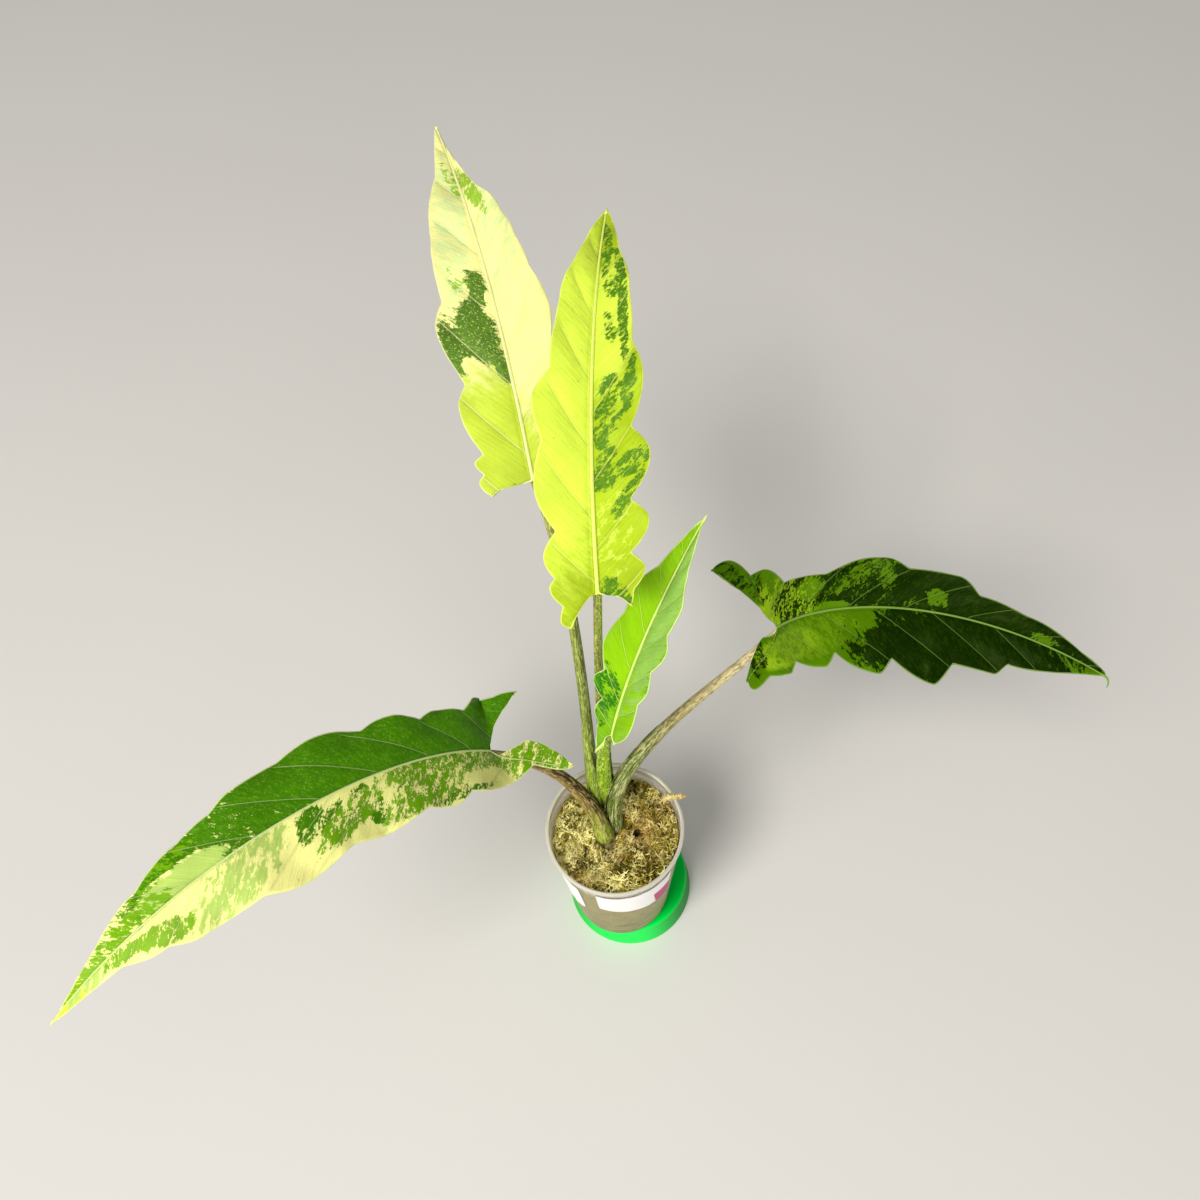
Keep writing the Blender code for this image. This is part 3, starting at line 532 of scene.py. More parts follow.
def stem_material(key, leaf):
    """Stalk skin: three colours along it, a shaded side, and long dark speckles."""
    low, middle, high, side, spots, pale = leaf["skin"]
    side_share, spot_share, fineness, threshold, first_end = leaf["skin_strengths"]
    p = Paint("stem_" + key)
    round_x, round_y, length = (p.read(name) for name in ("round_x", "round_y", "length"))
    patches = p.swing(p.vector(round_x, round_y, length, by=(1, 1, 0.16)), 0.33, 4, 0.6)
    fibres = p.swing(p.vector(round_x, round_y, length, by=(1.6, 1.6, 0.03)), 0.8, 3, 0.6)
    wander = p.fit(patches, 0.3, p.read("share"))
    body = p.mix(low, middle, p.step(wander, first_end - 0.15, first_end + 0.12))
    body = p.mix(body, high, p.step(wander, 0.5, 0.95))
    dim = p.step(p.fit(fibres, 0.8, p.fit(patches, 1, p.read("side"))), 0.1, 0.6)
    body = p.mix(body, side, p.times(dim, p.step(wander, 0.02, 0.2)), side_share)
    flecks = p.vector(p.math("ADD", round_x, 40), round_y, length, by=(1, 1, 0.17))
    flecks = p.fit(fibres, 0.5, p.noise(flecks, fineness * 0.8, 4, 0.65))
    body = p.mix(body, pale, p.step(flecks, 0.48, 0.56), 0.6)
    dots = p.noise(p.vector(round_x, round_y, length, by=(1, 1, 0.27)), fineness, 3, 0.65)
    dots = p.step(p.fit(patches, 0.4, dots), threshold, threshold + 0.05)
    body = p.mix(body, spots, dots, spot_share * 0.8)
    body = p.shade(body, p.fit(fibres, 0.5, 1))
    return p.finish(body, p.fit(patches, 0.2, 0.48), p.fit(dots, -0.3, fibres), 0.3, 0.7,
                    Specular_IOR_Level=0.2)


def crown_material():
    """Smooth green stem base, yellower on top, earthy where it enters the moss."""
    p = Paint("crown_skin")
    place = p.place()
    cloud = p.noise(place, 180, 4, 0.6)
    body = p.mix("8fae28", "6c8c2c", p.step(cloud, 0.35, 0.65))
    body = p.mix(body, "5c4c24", p.step(p.read("height"), 0.55, 0.2))
    body = p.mix(body, "3c4a18", p.step(p.noise(place, 900, 2), 0.62, 0.72))
    return p.finish(body, 0.42, cloud, 0.6, 0.5, Specular_IOR_Level=0.4)


def moss_material(name, lift):
    """Dry moss: straw and olive strands, tan in the dry area, with painted shade in the hollows and
    painted light on the side against the cup.
    """
    # lift: how brightly this copy of the moss is painted
    p = Paint(name)
    place = p.place()
    grit = p.noise(place, 1100, 4, 0.7)
    pick = p.fit(p.swing(place, 70, 3, 0.6), 0.9, p.read("shade"))
    body = p.mix("4c460c", "b4a23a", p.step(pick, 0.12, 0.58))
    body = p.mix(body, "f8f0a8", p.step(pick, 0.48, 0.9))
    body = p.mix(body, "cc9c5c", p.read("dry"), 0.7)
    # painted shade: darker in the hollows and gaps, where little light comes
    body = p.mix(body, "20160a", p.read("deep"), 0.9)
    body = p.mix(body, "443c1a", p.step(grit, 0.58, 0.72), 0.5)
    # painted light: the side of the bed against the cup is painted lighter, and lift sets the
    # painted brightness of each copy
    body = p.shade(body, p.fit(grit, 0.5, p.fit(p.read("wall"), 0.8, lift)))
    return p.finish(body, 0.9, grit, 0.5, 0.9, Specular_IOR_Level=0.1)


def cup_material():
    """Frosted clear plastic: mottled by the moss, milky above it, stained near the foot."""
    p = Paint("cup_frost")
    place = p.place()
    height = p.read("height")
    cloud = p.noise(place, 45)
    parts = p.node("SeparateXYZ", {0: place}).outputs
    layers = p.vector(*parts, by=(1, 1, 7))
    stain = p.times(p.step(p.noise(layers, 38, 4, 0.6), 0.45, 0.62), p.step(height, 0.5, 0.15))
    press = p.step(p.noise(place, 170, 4, 0.65), 0.45, 0.66)
    body = p.mix("d8ca84", "eade9e", cloud)
    body = p.mix(body, "9c9050", press, 0.45)
    body = p.mix(body, "846438", stain, 0.65)
    body = p.mix(body, "fffaf0", p.step(height, 0.84, 0.92))
    return p.finish(body, p.fit(cloud, 0.15, 0.3), p.noise(place, 1500, 3, 0.6), 0.03, 0.4,
                    Transmission_Weight=0.82, IOR=1.36, Specular_IOR_Level=0.3)


def lip_material():
    """The thick lip of the cup looks whiter than its wall."""
    p = Paint("cup_lip_frost")
    cloud = p.noise(p.place(), 60)
    return p.finish(p.mix("f0ecd4", "fcf8e8", cloud), p.fit(cloud, 0.15, 0.3),
                    p.noise(p.place(), 900), 0.03, 0.4, Transmission_Weight=0.42, IOR=1.45)


def dish_material():
    """Bright green see-through plastic with fine wear, painted lighter on the front where the light
    falls and painted darker on the wall at the far right, which lies in shade.
    """
    p = Paint("dish_plastic")
    place = p.place()
    wear = p.noise(place, 600, 4, 0.65)
    body = p.mix("00c03c", "00d448", p.noise(place, 30, 3, 0.5))
    # painted light: the front of the dish, which faces the lamps, is brighter
    body = p.mix(body, "00f058", p.read("front"), 0.9)
    # painted shade: the wall at the far right, away from the lamps, is darker
    body = p.mix(body, "007828", p.read("far"), 0.85)
    return p.finish(body, p.fit(wear, 0.2, 0.35), wear, 0.05, 0.4, Transmission_Weight=0.06,
                    IOR=1.46, Specular_IOR_Level=0.02, Specular_Tint=(0.25, 1.0, 0.4))


def sticker_material(name, band):
    """Matt paper with fine fibres, a worn edge, and on one label a plain coloured band."""
    p = Paint(name)
    fibre = p.noise(p.place(), 900, 4, 0.7)
    worn = p.step(p.fit(fibre, 1.6, p.read("edge")), 1.1, 1.7)
    body = p.mix("d8d4c8", p.mix("f2f0ec", "ffffff", fibre), worn)
    if band:
        body = p.mix(body, "c00c72", p.step(p.fit(fibre, 0.1, p.read("band")), 0.52, 0.56), 0.95)
    return p.finish(body, 0.58, fibre, 0.06, 0.5)


# Pot


def make_dish():
    foot, top, inner_top = DISH_FOOT_RADIUS, DISH_TOP_RADIUS, DISH_HEIGHT - DISH_WALL
    slope = degrees(atan2(foot - top, DISH_HEIGHT))
    edge, inner_edge, foot_edge, inner_foot_edge = 2.5, 2.0, 0.8, 0.4
    inner_foot = foot - 2 * DISH_WALL
    inner_wall = top - DISH_WALL
    profile = [(0.0, DISH_HEIGHT)]
    profile += stretch((0.0, DISH_HEIGHT), (top - edge, DISH_HEIGHT), 12)
    profile += arc(top - edge, DISH_HEIGHT - edge, edge, 90, slope, 8)
    profile += stretch(profile[-1], (foot, foot_edge), 10)
    profile += arc(foot - foot_edge, foot_edge, foot_edge, slope, -90, 5)
    profile += arc(inner_foot + inner_foot_edge, inner_foot_edge, inner_foot_edge, -90, -180, 3)
    profile += stretch((inner_foot, 0.6), (inner_wall, inner_top - inner_edge), 8)
    profile += arc(inner_wall - inner_edge, inner_top - inner_edge, inner_edge, 0, 90, 6)
    profile += stretch((inner_wall - inner_edge, inner_top), (0.0, inner_top), 10)
    profile.append((0.0, inner_top))
    points, faces = lathe(profile[::-1], 144, DISH_CENTRE)
    right, back = (points[:, :2] - DISH_CENTRE).T / DISH_TOP_RADIUS
    wall = ease(DISH_HEIGHT, DISH_HEIGHT - 5, points[:, 2])
    # front and far are painted light and shade: the front of the dish is painted lighter, the wall
    # at the far right darker
    sheet = Sheet("front", "far")
    sheet.add(points, faces, front=ease(0.5, 1.1, -back - 0.1 * right),
              far=wall * ease(-0.2, 0.9, right + 0.3 * back))
    sheet.piece("dish_body", dish_material(), "dish_green", "dish")


def cup_radius(z):
    share = (z - CUP_FLOOR_Z) / (RIM_Z - LIP_HEIGHT - CUP_FLOOR_Z)
    return CUP_FOOT_RADIUS + (CUP_NECK_RADIUS - CUP_FOOT_RADIUS) * share


def make_cup():
    segments = 160
    floor_top = CUP_FLOOR_Z + 1.6
    inner_edge, foot_edge, lip_edge = 1.5, 3, 0.8
    mouth = CUP_NECK_RADIUS - CUP_WALL
    neck_z = RIM_Z - LIP_HEIGHT
    neck = (CUP_NECK_RADIUS, neck_z)
    lip_round = LIP_HEIGHT / 2
    foot_z = CUP_FLOOR_Z + foot_edge
    turn_r = cup_radius(floor_top + inner_edge) - CUP_WALL
    profile = [(0.0, floor_top)]
    profile += stretch((0.0, floor_top), (cup_radius(floor_top) - 2 * CUP_WALL, floor_top), 8)
    profile += arc(turn_r - inner_edge, floor_top + inner_edge, inner_edge, -90, 0, 5)
    profile += stretch((turn_r, floor_top + inner_edge), (mouth, neck_z), 24)
    profile += [(mouth, neck_z), neck] + stretch(neck, (cup_radius(foot_z), foot_z), 26)
    profile += arc(CUP_FOOT_RADIUS - foot_edge, foot_z, foot_edge, 4, -90, 7)
    profile += stretch((CUP_FOOT_RADIUS - foot_edge, CUP_FLOOR_Z), (0.0, CUP_FLOOR_Z), 6)
    profile.append((0.0, CUP_FLOOR_Z))
    sheet = Sheet("height")
    points, faces = lathe(profile, segments)
    sheet.add(points, faces, height=(points[:, 2] - CUP_FLOOR_Z) / (RIM_Z - CUP_FLOOR_Z))
    sheet.piece("cup_body", cup_material(), "cup_frosted", "cup")

    ring = [(mouth, neck_z)] + stretch((mouth, neck_z), (mouth, RIM_Z - lip_edge), 3)
    ring += arc(mouth + lip_edge, RIM_Z - lip_edge, lip_edge, 180, 90, 4)
    ring += arc(LIP_RADIUS - lip_round, RIM_Z - lip_round, lip_round, 90, -90, 12)
    ring.append(neck)
    index = np.arange(len(ring) * segments).reshape(len(ring), segments)
    closed = np.concatenate([index, index[:1]])
    lip = Sheet()
    lip.add(turned(ring, segments), grid_faces(closed, wrap=True)[:, ::-1])
    lip.piece("cup_lip", lip_material(), "cup_frosted", "cup")


def sticker_point(spec, u, v):
    start, end = (radians(a) for a in spec["angles"])
    low_z, high_z = (spec[k][0] + (spec[k][1] - spec[k][0]) * u for k in ("low", "high"))
    z = low_z + (high_z - low_z) * v
    radius = cup_radius(z) + 0.12
    half_width = (end - start) / 2 * radius
    corner = spec["corner"]
    edge_distance = min(z - low_z, high_z - z)
    inset = 0.0
    if edge_distance < corner:
        inset = corner - sqrt(corner**2 - (corner - edge_distance) ** 2)
    angle = (start + end) / 2 + (2 * u - 1) * (half_width - inset) / radius
    side = half_width * (1 - abs(2 * u - 1)) - inset
    return (radius * sin(angle), -radius * cos(angle), z), min(side, edge_distance)


def make_sticker(name, spec, band, node):
    """A label on the cup: a thin sheet, its edge lifted a hair here and there."""
    across, up = 60, 44
    points, values = [], []
    for i in range(up + 1):
        for j in range(across + 1):
            u = j / across
            v = (1 - cos(pi * i / up)) / 2
            place, edge = sticker_point(spec, u, v)
            lift = 0.18 * max(0.0, 1 - edge / 3) * (0.5 + lump(*place, 6))
            points.append(place + unit((place[0], place[1], 0.0)) * max(0.0, lift))
            print_share = ease(0.69, 0.74, u + (v - 0.5) * 0.1) * ease(0.54, 0.48, v)
            values.append((edge, print_share if band else 0))
    index = np.arange(len(points)).reshape(up + 1, across + 1)
    solid, faces = thicken(np.array(points), grid_faces(index), 0.16, 0.02)
    edges, bands = np.transpose(values * 2)
    sheet = Sheet("edge", "band")
    sheet.add(solid, faces, edge=edges, band=bands)
    sheet.piece(name, sticker_material(name + "_paper", band), "sticker_white", node)


# Moss


MOSS_LEVEL = 157.0
MOSS_RADIUS = cup_radius(MOSS_LEVEL) - CUP_WALL
# Gap between the moss and the wall of the cup
WALL_GAP = 0.9
# Hollows: place, size and depth. The first is an open hole
HOLES = [((14.9, -1.1), 2.6, 7.0), ((14.8, 32.7), 5.0, 5.0), ((-13.2, -28.0), 7.0, 3.0),
         ((-7.1, -14.1), 4.5, 4.0), ((30.0, 18.0), 4.0, 3.0), ((-30.0, 6.0), 5.0, 1.3),
         ((-22.0, -12.0), 4.0, 1.3), ((26.0, -20.0), 4.0, 2.5), ((-7.0, -7.0), 7.5, 1.0)]
DRY_PLACES = [((16, -3), 13), ((38, 16), 8), ((-27, -28), 6), ((-3, -15), 7)]
CLEAR_PLACES = [(HOLES[0][0], HOLES[0][1] * 0.9)]
CLEAR_PLACES += [(leaf["foot"], leaf["radii"][0] + 0.8) for leaf in LEAVES.values()]
STRANDS = 1000
STRAND_STEPS = 9
STRAND_LIFT = 4.5
STRAND_CURL = 0.12
SHOOT_CHANCE = 0.8


def spot(x, y, centre, size):
    """A soft round spot: 1 in its middle and little beyond its size."""
    return exp(-((x - centre[0]) ** 2 + (y - centre[1]) ** 2) / size**2)


def kept_clear(place):
    """Whether a point of the moss lies in the open hole or in the foot of a stalk."""
    return any(dist(place[:2], centre) < radius for centre, radius in CLEAR_PLACES)


def moss_height(x, y):
    """Height of the bed of moss: it rises to the front right and has lumps and hollows."""
    tilt = (0.45 * x - 0.89 * y) * 0.1
    reach = hypot(x, y) / CUP_NECK_RADIUS
    height = MOSS_LEVEL + tilt + 4.2 * lump(x, y, 3, 11) + 2.5 * lump(x, y, 9, 4.3)
    height -= 2 * reach**6
    for centre, size, depth in HOLES:
        height -= depth * spot(x, y, centre, size)
    return height


def moss_dryness(x, y):
    return max(spot(x, y, centre, size) for centre, size in DRY_PLACES)


def moss_depth(x, y):
    """Near 1 in the hollows, where little light comes."""
    hollow = max(depth / 7 * spot(x, y, centre, size) for centre, size, depth in HOLES)
    return min(1.0, hollow + 0.35 * max(0.0, -lump(x, y, 3, 11) * 2))


def make_moss_bed():
    """The body of the moss: a lumpy top and a side that lies against the cup."""
    segments, rings, wall_rings = 180, 60, 50
    floor_z = CUP_FLOOR_Z + 2.1
    rows, values = [], []
    for i in range(1, rings + wall_rings + 1):
        for k in range(segments):
            angle = tau * k / segments
            radius = (MOSS_RADIUS - WALL_GAP) * min(1.0, i / rings)
            x, y = around(radius, angle)
            z = moss_height(x, y)
            if i > rings:
                down = (i - rings) / wall_rings
                z += (floor_z - z) * down
                dent = float(np.clip(0.5 + 0.5 * lump(x, y, z * 1.6, 6), 0, 1))
                radius = cup_radius(z) - CUP_WALL - WALL_GAP - 1.2 * dent * ease(0, 0.04, down)
                x, y = around(radius, angle)
                dry = 0.5 * ease(90, 40, z)
                # painted shade: darker in the dents, where the moss stands off the wall, and
                # further down the wall
                deep = 0.4 * ease(0.6, 0.85, dent) + 0.2 * down
            else:
                dry = moss_dryness(x, y)
                # painted shade in the hollows
                deep = 0.75 * moss_depth(x, y)
            rows.append((x, y, z))
            # the last term is painted light: the moss is painted lighter on the left, towards the
            # lamps, and darker on the right
            shade = 0.55 + 0.8 * lump(x, y, z, 3) - 0.0045 * x
            # the last value marks the side against the cup, which the material paints lighter
            values.append((shade, dry, deep, i > rings))
    ends = (0.0, 0.0, moss_height(0, 0)), (0.0, 0.0, floor_z)
    points, faces = barrel(np.reshape(rows, (-1, segments, 3)), *ends)
    values += [(0.5, 0.5, 0.5, 0.5)] * 2
    sheet = Sheet("shade", "dry", "deep", "wall")
    sheet.add(points, faces, **dict(zip(sheet.values, np.transpose(values))))
    # the bed is painted dark, as shade under the strands
    sheet.piece("moss_bed", moss_material("moss_bed_shaded", 0.1), "moss_straw", "moss")


def curl_path(rng, x, y, length):
    """A strand that lies on the bed, bends as it goes and lifts its end."""
    heading = rng.uniform(0, tau)
    bend = rng.gauss(0, STRAND_CURL)
    lift = rng.uniform(0.0, 1.0) ** 2 * STRAND_LIFT
    step = length / (STRAND_STEPS - 1)
    limit = MOSS_RADIUS - 1.2
    path = []
    for i in range(STRAND_STEPS):
        share = i / (STRAND_STEPS - 1)
        reach = hypot(x, y)
        if reach > limit:
            x, y = x * limit / reach, y * limit / reach
        wobble = 0.25 * sin(share * 9 + bend * 40)
        path.append((x, y, moss_height(x, y) + 0.3 + wobble + lift * sin(share * 2.6)))
        x += step * cos(heading)
        y += step * sin(heading)
        heading += bend * step + rng.gauss(0, 0.25)
    return path


def make_moss_strands():
    """Long strands with short side shoots, thick over the whole bed and round the stalks."""
    rng = random.Random(11)
    stems, *shoots = (Sheet("shade", "dry", "deep") for _ in range(3))
    limit = MOSS_RADIUS - 2
    for _ in range(STRANDS):
        radius = limit * sqrt(rng.random())
        angle = rng.uniform(0, tau)
        x, y = around(radius, angle)
        path = curl_path(rng, x, y, rng.uniform(6, 16))
        thick = rng.uniform(0.5, 0.95)
        # tone of the strand, at random, with painted light in the last term: lighter on the left,
        # towards the lamps, darker on the right
        strand_tone_and_light = 0.58 + 0.8 * lump(x, y, 20, 7) + rng.uniform(-0.4, 0.4) - 0.0045 * x
        if any(kept_clear(place) for place in path):
            continue
        dry = moss_dryness(x, y) * rng.uniform(0.4, 1.0)
        # painted shade in the hollows
        deep = moss_depth(x, y) * 0.7
        taper = np.linspace(1, 0.35, STRAND_STEPS) * thick
        stems.tube(path, taper, 5, shade=strand_tone_and_light, dry=dry, deep=deep)
        for place in path[1:]:
            for sheet in shoots:
                if rng.random() > SHOOT_CHANCE:
                    continue
                turn = rng.uniform(0, tau)
                out = compass(turn, rng.uniform(-0.1, 0.9))
                size = rng.uniform(1.3, 3.6)
                hook = compass(turn + 1.2, 0.5) * 0.24
                curve = [place, place + out * size * 0.5, place + (out + hook) * size]
                if hypot(*curve[2][:2]) > limit + 1.2 or kept_clear(curve[2]):
                    continue
                taper = np.array([1, 0.75, 0.25]) * rng.uniform(0.32, 0.6)
                tone = strand_tone_and_light + rng.uniform(-0.2, 0.25)
                sheet.tube(curve, taper, 3, shade=tone, dry=dry, deep=deep * 0.8)
    paint = moss_material("moss_strand", 1.05)
    stems.piece("moss_stems", paint, "moss_straw")
    for i, sheet in enumerate(shoots):
        sheet.piece(f"moss_shoots_{i}", paint, "moss_straw")


def make_sprig():
    """A dry sprig of moss that hangs over the rim on the right."""
    rng = random.Random(5)
    sheet = Sheet("shade", "dry", "deep")
    steps, bristles, sag = 12, 9, 3.5
    start, end = np.array([35.0, 17.5, 167.0]), np.array([50.0, 15.5, 173.5])
    main = [start + (end - start) * t + (0, 0, sag * sin(pi * t))
            for t in np.linspace(0, 1, steps)]
    sheet.tube(main, np.linspace(1.5, 0.4, steps), 6, shade=0.9, dry=0.4)
    for i, place in enumerate(main):
        for _ in range(bristles):
            turn = unit([rng.gauss(0, 1), rng.gauss(0, 1), rng.gauss(0.2, 0.6)])
            size = rng.uniform(1.5, 3.6) * (1.3 - 0.05 * i)
            curve = [place, place + turn * size * 0.5, place + turn * size + (0, 0, -0.4)]
            sheet.tube(curve, [0.6, 0.45, 0.15], 4,
                       shade=rng.uniform(0.5, 1.1), dry=rng.uniform(0.3, 0.7))
    sheet.piece("moss_sprig", moss_material("moss_dry_sprig", 0.75), "moss_straw")


# Stem base


CROWN_X, CROWN_Y = -2.5, 9.5
CROWN_LOW, CROWN_HIGH = 106, 158
# Half width of the stem base at shares of its height
CROWN_WIDTHS = ([0, 0.1, 0.3, 0.55, 0.8, 0.93, 1.0], [3, 9, 12.5, 11, 12.5, 10.5, 3.5])
ROOTS = 6
ROOT_STEPS = 16


def make_crown():
    """A swollen base of sheath layers, with roots that go down into the moss."""
    rng = random.Random(3)
    rows, columns = 44, 64
    points = []
    for t in np.arange(rows + 1) / rows:
        lean = ease(0.6, 1.0, t)
        x, y = CROWN_X - 2 * lean, CROWN_Y - 3 * lean
        z = CROWN_LOW + (CROWN_HIGH - CROWN_LOW) * t
        for k in range(columns):
            angle = tau * k / columns
            fold = 1 + 0.05 * cos(5 * angle + t * 3) + 0.03 * cos(9 * angle - t * 5)
            radius = np.interp(t, *CROWN_WIDTHS) * fold
            points.append((x + radius * cos(angle), y + 1.22 * radius * sin(angle), z))
    ends = (CROWN_X, CROWN_Y, CROWN_LOW - 0.5), (CROWN_X - 2, CROWN_Y - 3, CROWN_HIGH + 0.5)
    points, faces = barrel(np.reshape(points, (rows + 1, columns, 3)), *ends)
    heights = np.append(np.repeat(np.arange(rows + 1) / rows, columns), [0, 1])
    sheet = Sheet("height")
    sheet.add(points, [face[::-1] for face in faces], height=heights)
    for i in range(ROOTS):
        out = compass(tau * (i + 0.35) / ROOTS)
        side = np.array([-out[1], out[0], 0]) * 1.2
        path = [np.array([CROWN_X, CROWN_Y, 118 - 50 * t]) + out * (4 + 17 * t)
                + side * sin(t * 7 + i) for t in np.linspace(0, 1, ROOT_STEPS)]
        sheet.tube(path, np.linspace(1.8, 0.5, ROOT_STEPS) * rng.uniform(0.85, 1.1), 8)
    sheet.piece("crown_base", crown_material(), "stem_green", "crown")


# Leaves


ROW_STEP = 1.25
COLUMNS = 28
COLUMN_POWER = 1.5
LEAST_HALF_WIDTH = 0.35


def tangent_at(leaf, s):
    """Direction of the midrib, which bends as it goes; the lobes turn up from their hinge."""
    heading, heading_change = leaf["heading"]
    rise, rise_change = leaf["rise"]
    if s < 0:
        rise -= leaf["lobe_lift"] * min(1.0, -s / HINGE_LENGTH)
    else:
        share = s / leaf["length"]
        heading += heading_change * share
        rise -= rise_change * share ** leaf["arch"]
    heading, rise = radians(heading), radians(rise)
    return np.array([*around(cos(rise), heading), sin(rise)])


class Spine:
    """Place, side and upward direction of a blade at any distance along its midrib."""

    def __init__(self, leaf):
        self.s = np.arange(-LOBE_REACH, leaf["length"] + 1)
        place = np.zeros((len(self.s), 3))
        place[LOBE_REACH] = leaf["attach"]
        for i in range(LOBE_REACH + 1, len(self.s)):
            place[i] = place[i - 1] + tangent_at(leaf, self.s[i] - 0.5)
        for i in range(LOBE_REACH - 1, -1, -1):
            place[i] = place[i + 1] - tangent_at(leaf, self.s[i] + 0.5)
        along = np.array([tangent_at(leaf, s) for s in self.s])
        level = unit(np.cross((0, 0, 1), along))
        roll = radians(leaf["roll"])
        side = level * cos(roll) + np.cross(along, level) * sin(roll)
        self.parts = (place, side, np.cross(along, side))

    def at(self, s):
        return [sample(s, self.s, part) for part in self.parts]


def margin_reach(points, taper, length, s):
    """Reach of the margin from the midrib: rounded lobe tips with sharp notches between."""
    if s <= points[0][0]:
        return points[0][1]
    for (s0, w0), (s1, w1) in zip(points, points[1:]):
        if s <= s1:
            angle = pi / 2 * (s - s0) / (s1 - s0)
            share = sin(angle) if w1 > w0 else 1 - cos(angle)
            return w0 + (w1 - w0) * share
    s_last, w_last = points[-1]
    return w_last * max(0.0, (length - s) / (length - s_last)) ** taper


def patch_field(patches, s, w):
    """Strength of the strongest patch of colour at each point. A patch colours its own half
    of the blade only, and one of a strength below 0 clears what is there."""
    value = np.zeros_like(s)
    for s0, w0, half_s, half_w, turn, gain in patches:
        c, d, _ = compass(radians(turn))
        p = (s - s0) * c + (w - w0) * d
        q = (w - w0) * c - (s - s0) * d
        near = np.where(w * w0 >= 0, 1.5 - np.hypot(p / half_s, q / half_w), 0)
        if gain < 0:
            value = value * (1 + gain * np.clip(2 * near, 0, 1))
        else:
            value = np.maximum(value, np.clip(near, 0, gain))
    return value


def half_rows(leaf, place):
    """Rows of the lobe and of the blade on one side: distance along, and reach of the inner
    and outer edge."""
    points, length = leaf[SIDES[place]], leaf["length"]
    lobe_tip, lobe_reach = points[0]
    lobe_count = max(4, round(-lobe_tip / ROW_STEP))
    count = round(length / ROW_STEP)

    def outer_reach(s):
        return margin_reach(points, leaf["taper"][place], length, s)

    lobe = []
    for i in range(lobe_count):
        share = 1 - i / lobe_count
        s = lobe_tip * share
        clear = SINUS_CLEARANCE * min(1.0, -s / SINUS_ROUND)
        inner = max(clear, lobe_reach * share ** leaf["sinus"][place])
        outer = outer_reach(s)
        round_end = sqrt(min(1.0, (0.15 + i) * ROW_STEP / 2.5))
        half = max(LEAST_HALF_WIDTH, abs(outer - inner) / 2 * round_end)
        lobe.append((s, (inner + outer) / 2 - half, (inner + outer) / 2 + half))
    blade = [(s, 0.0, max(LEAST_HALF_WIDTH, outer_reach(s)))
             for s in (length * i / count for i in range(count + 1))]
    return lobe, blade


def blade_sheet(leaf):
    """Grid of the whole blade: distance along, signed distance across, place between the
    edges, distance to the edge, and the quads."""
    columns = np.linspace(0, 1, COLUMNS + 1) ** COLUMN_POWER
    parts, counts = [], []
    for place, sign in ((0, 1.0), (1, -1.0)):
        for block in half_rows(leaf, place):
            counts.append(len(block))
            table = np.array(block)
            slope = np.gradient(table[:, 2]) / np.maximum(1e-6, np.gradient(table[:, 0]))
            for (at, inner, outer), tilt in zip(block, slope):
                reach = inner + (outer - inner) * columns
                near = (outer - reach) / hypot(1.0, float(np.clip(tilt, -2.5, 2.5)))
                if at < 0:
                    near = np.minimum(near, np.abs(reach - inner))
                parts.append((np.full(len(columns), at), sign * reach, columns, near))
    left_lobe, rows, right_lobe, _ = counts
    index = np.arange(sum(counts) * len(columns)).reshape(-1, len(columns))
    left = index[:left_lobe + rows]
    right = index[left_lobe + rows:].copy()
    right[right_lobe:, 0] = left[left_lobe:, 0]
    faces = np.concatenate([grid_faces(left)[:, ::-1], grid_faces(right)])
    used = np.unique(faces)
    renumber = np.full(index.size, -1)
    renumber[used] = np.arange(len(used))
    return *(np.concatenate(part)[used] for part in zip(*parts)), renumber[faces]


def segment_distance(s, w, end):
    """Distance from the line between the attachment and a point."""
    end = np.array(end, float)
    share = np.clip((s * end[0] + w * end[1]) / (end @ end), 0, 1)
    return np.hypot(s - end[0] * share, w - end[1] * share)


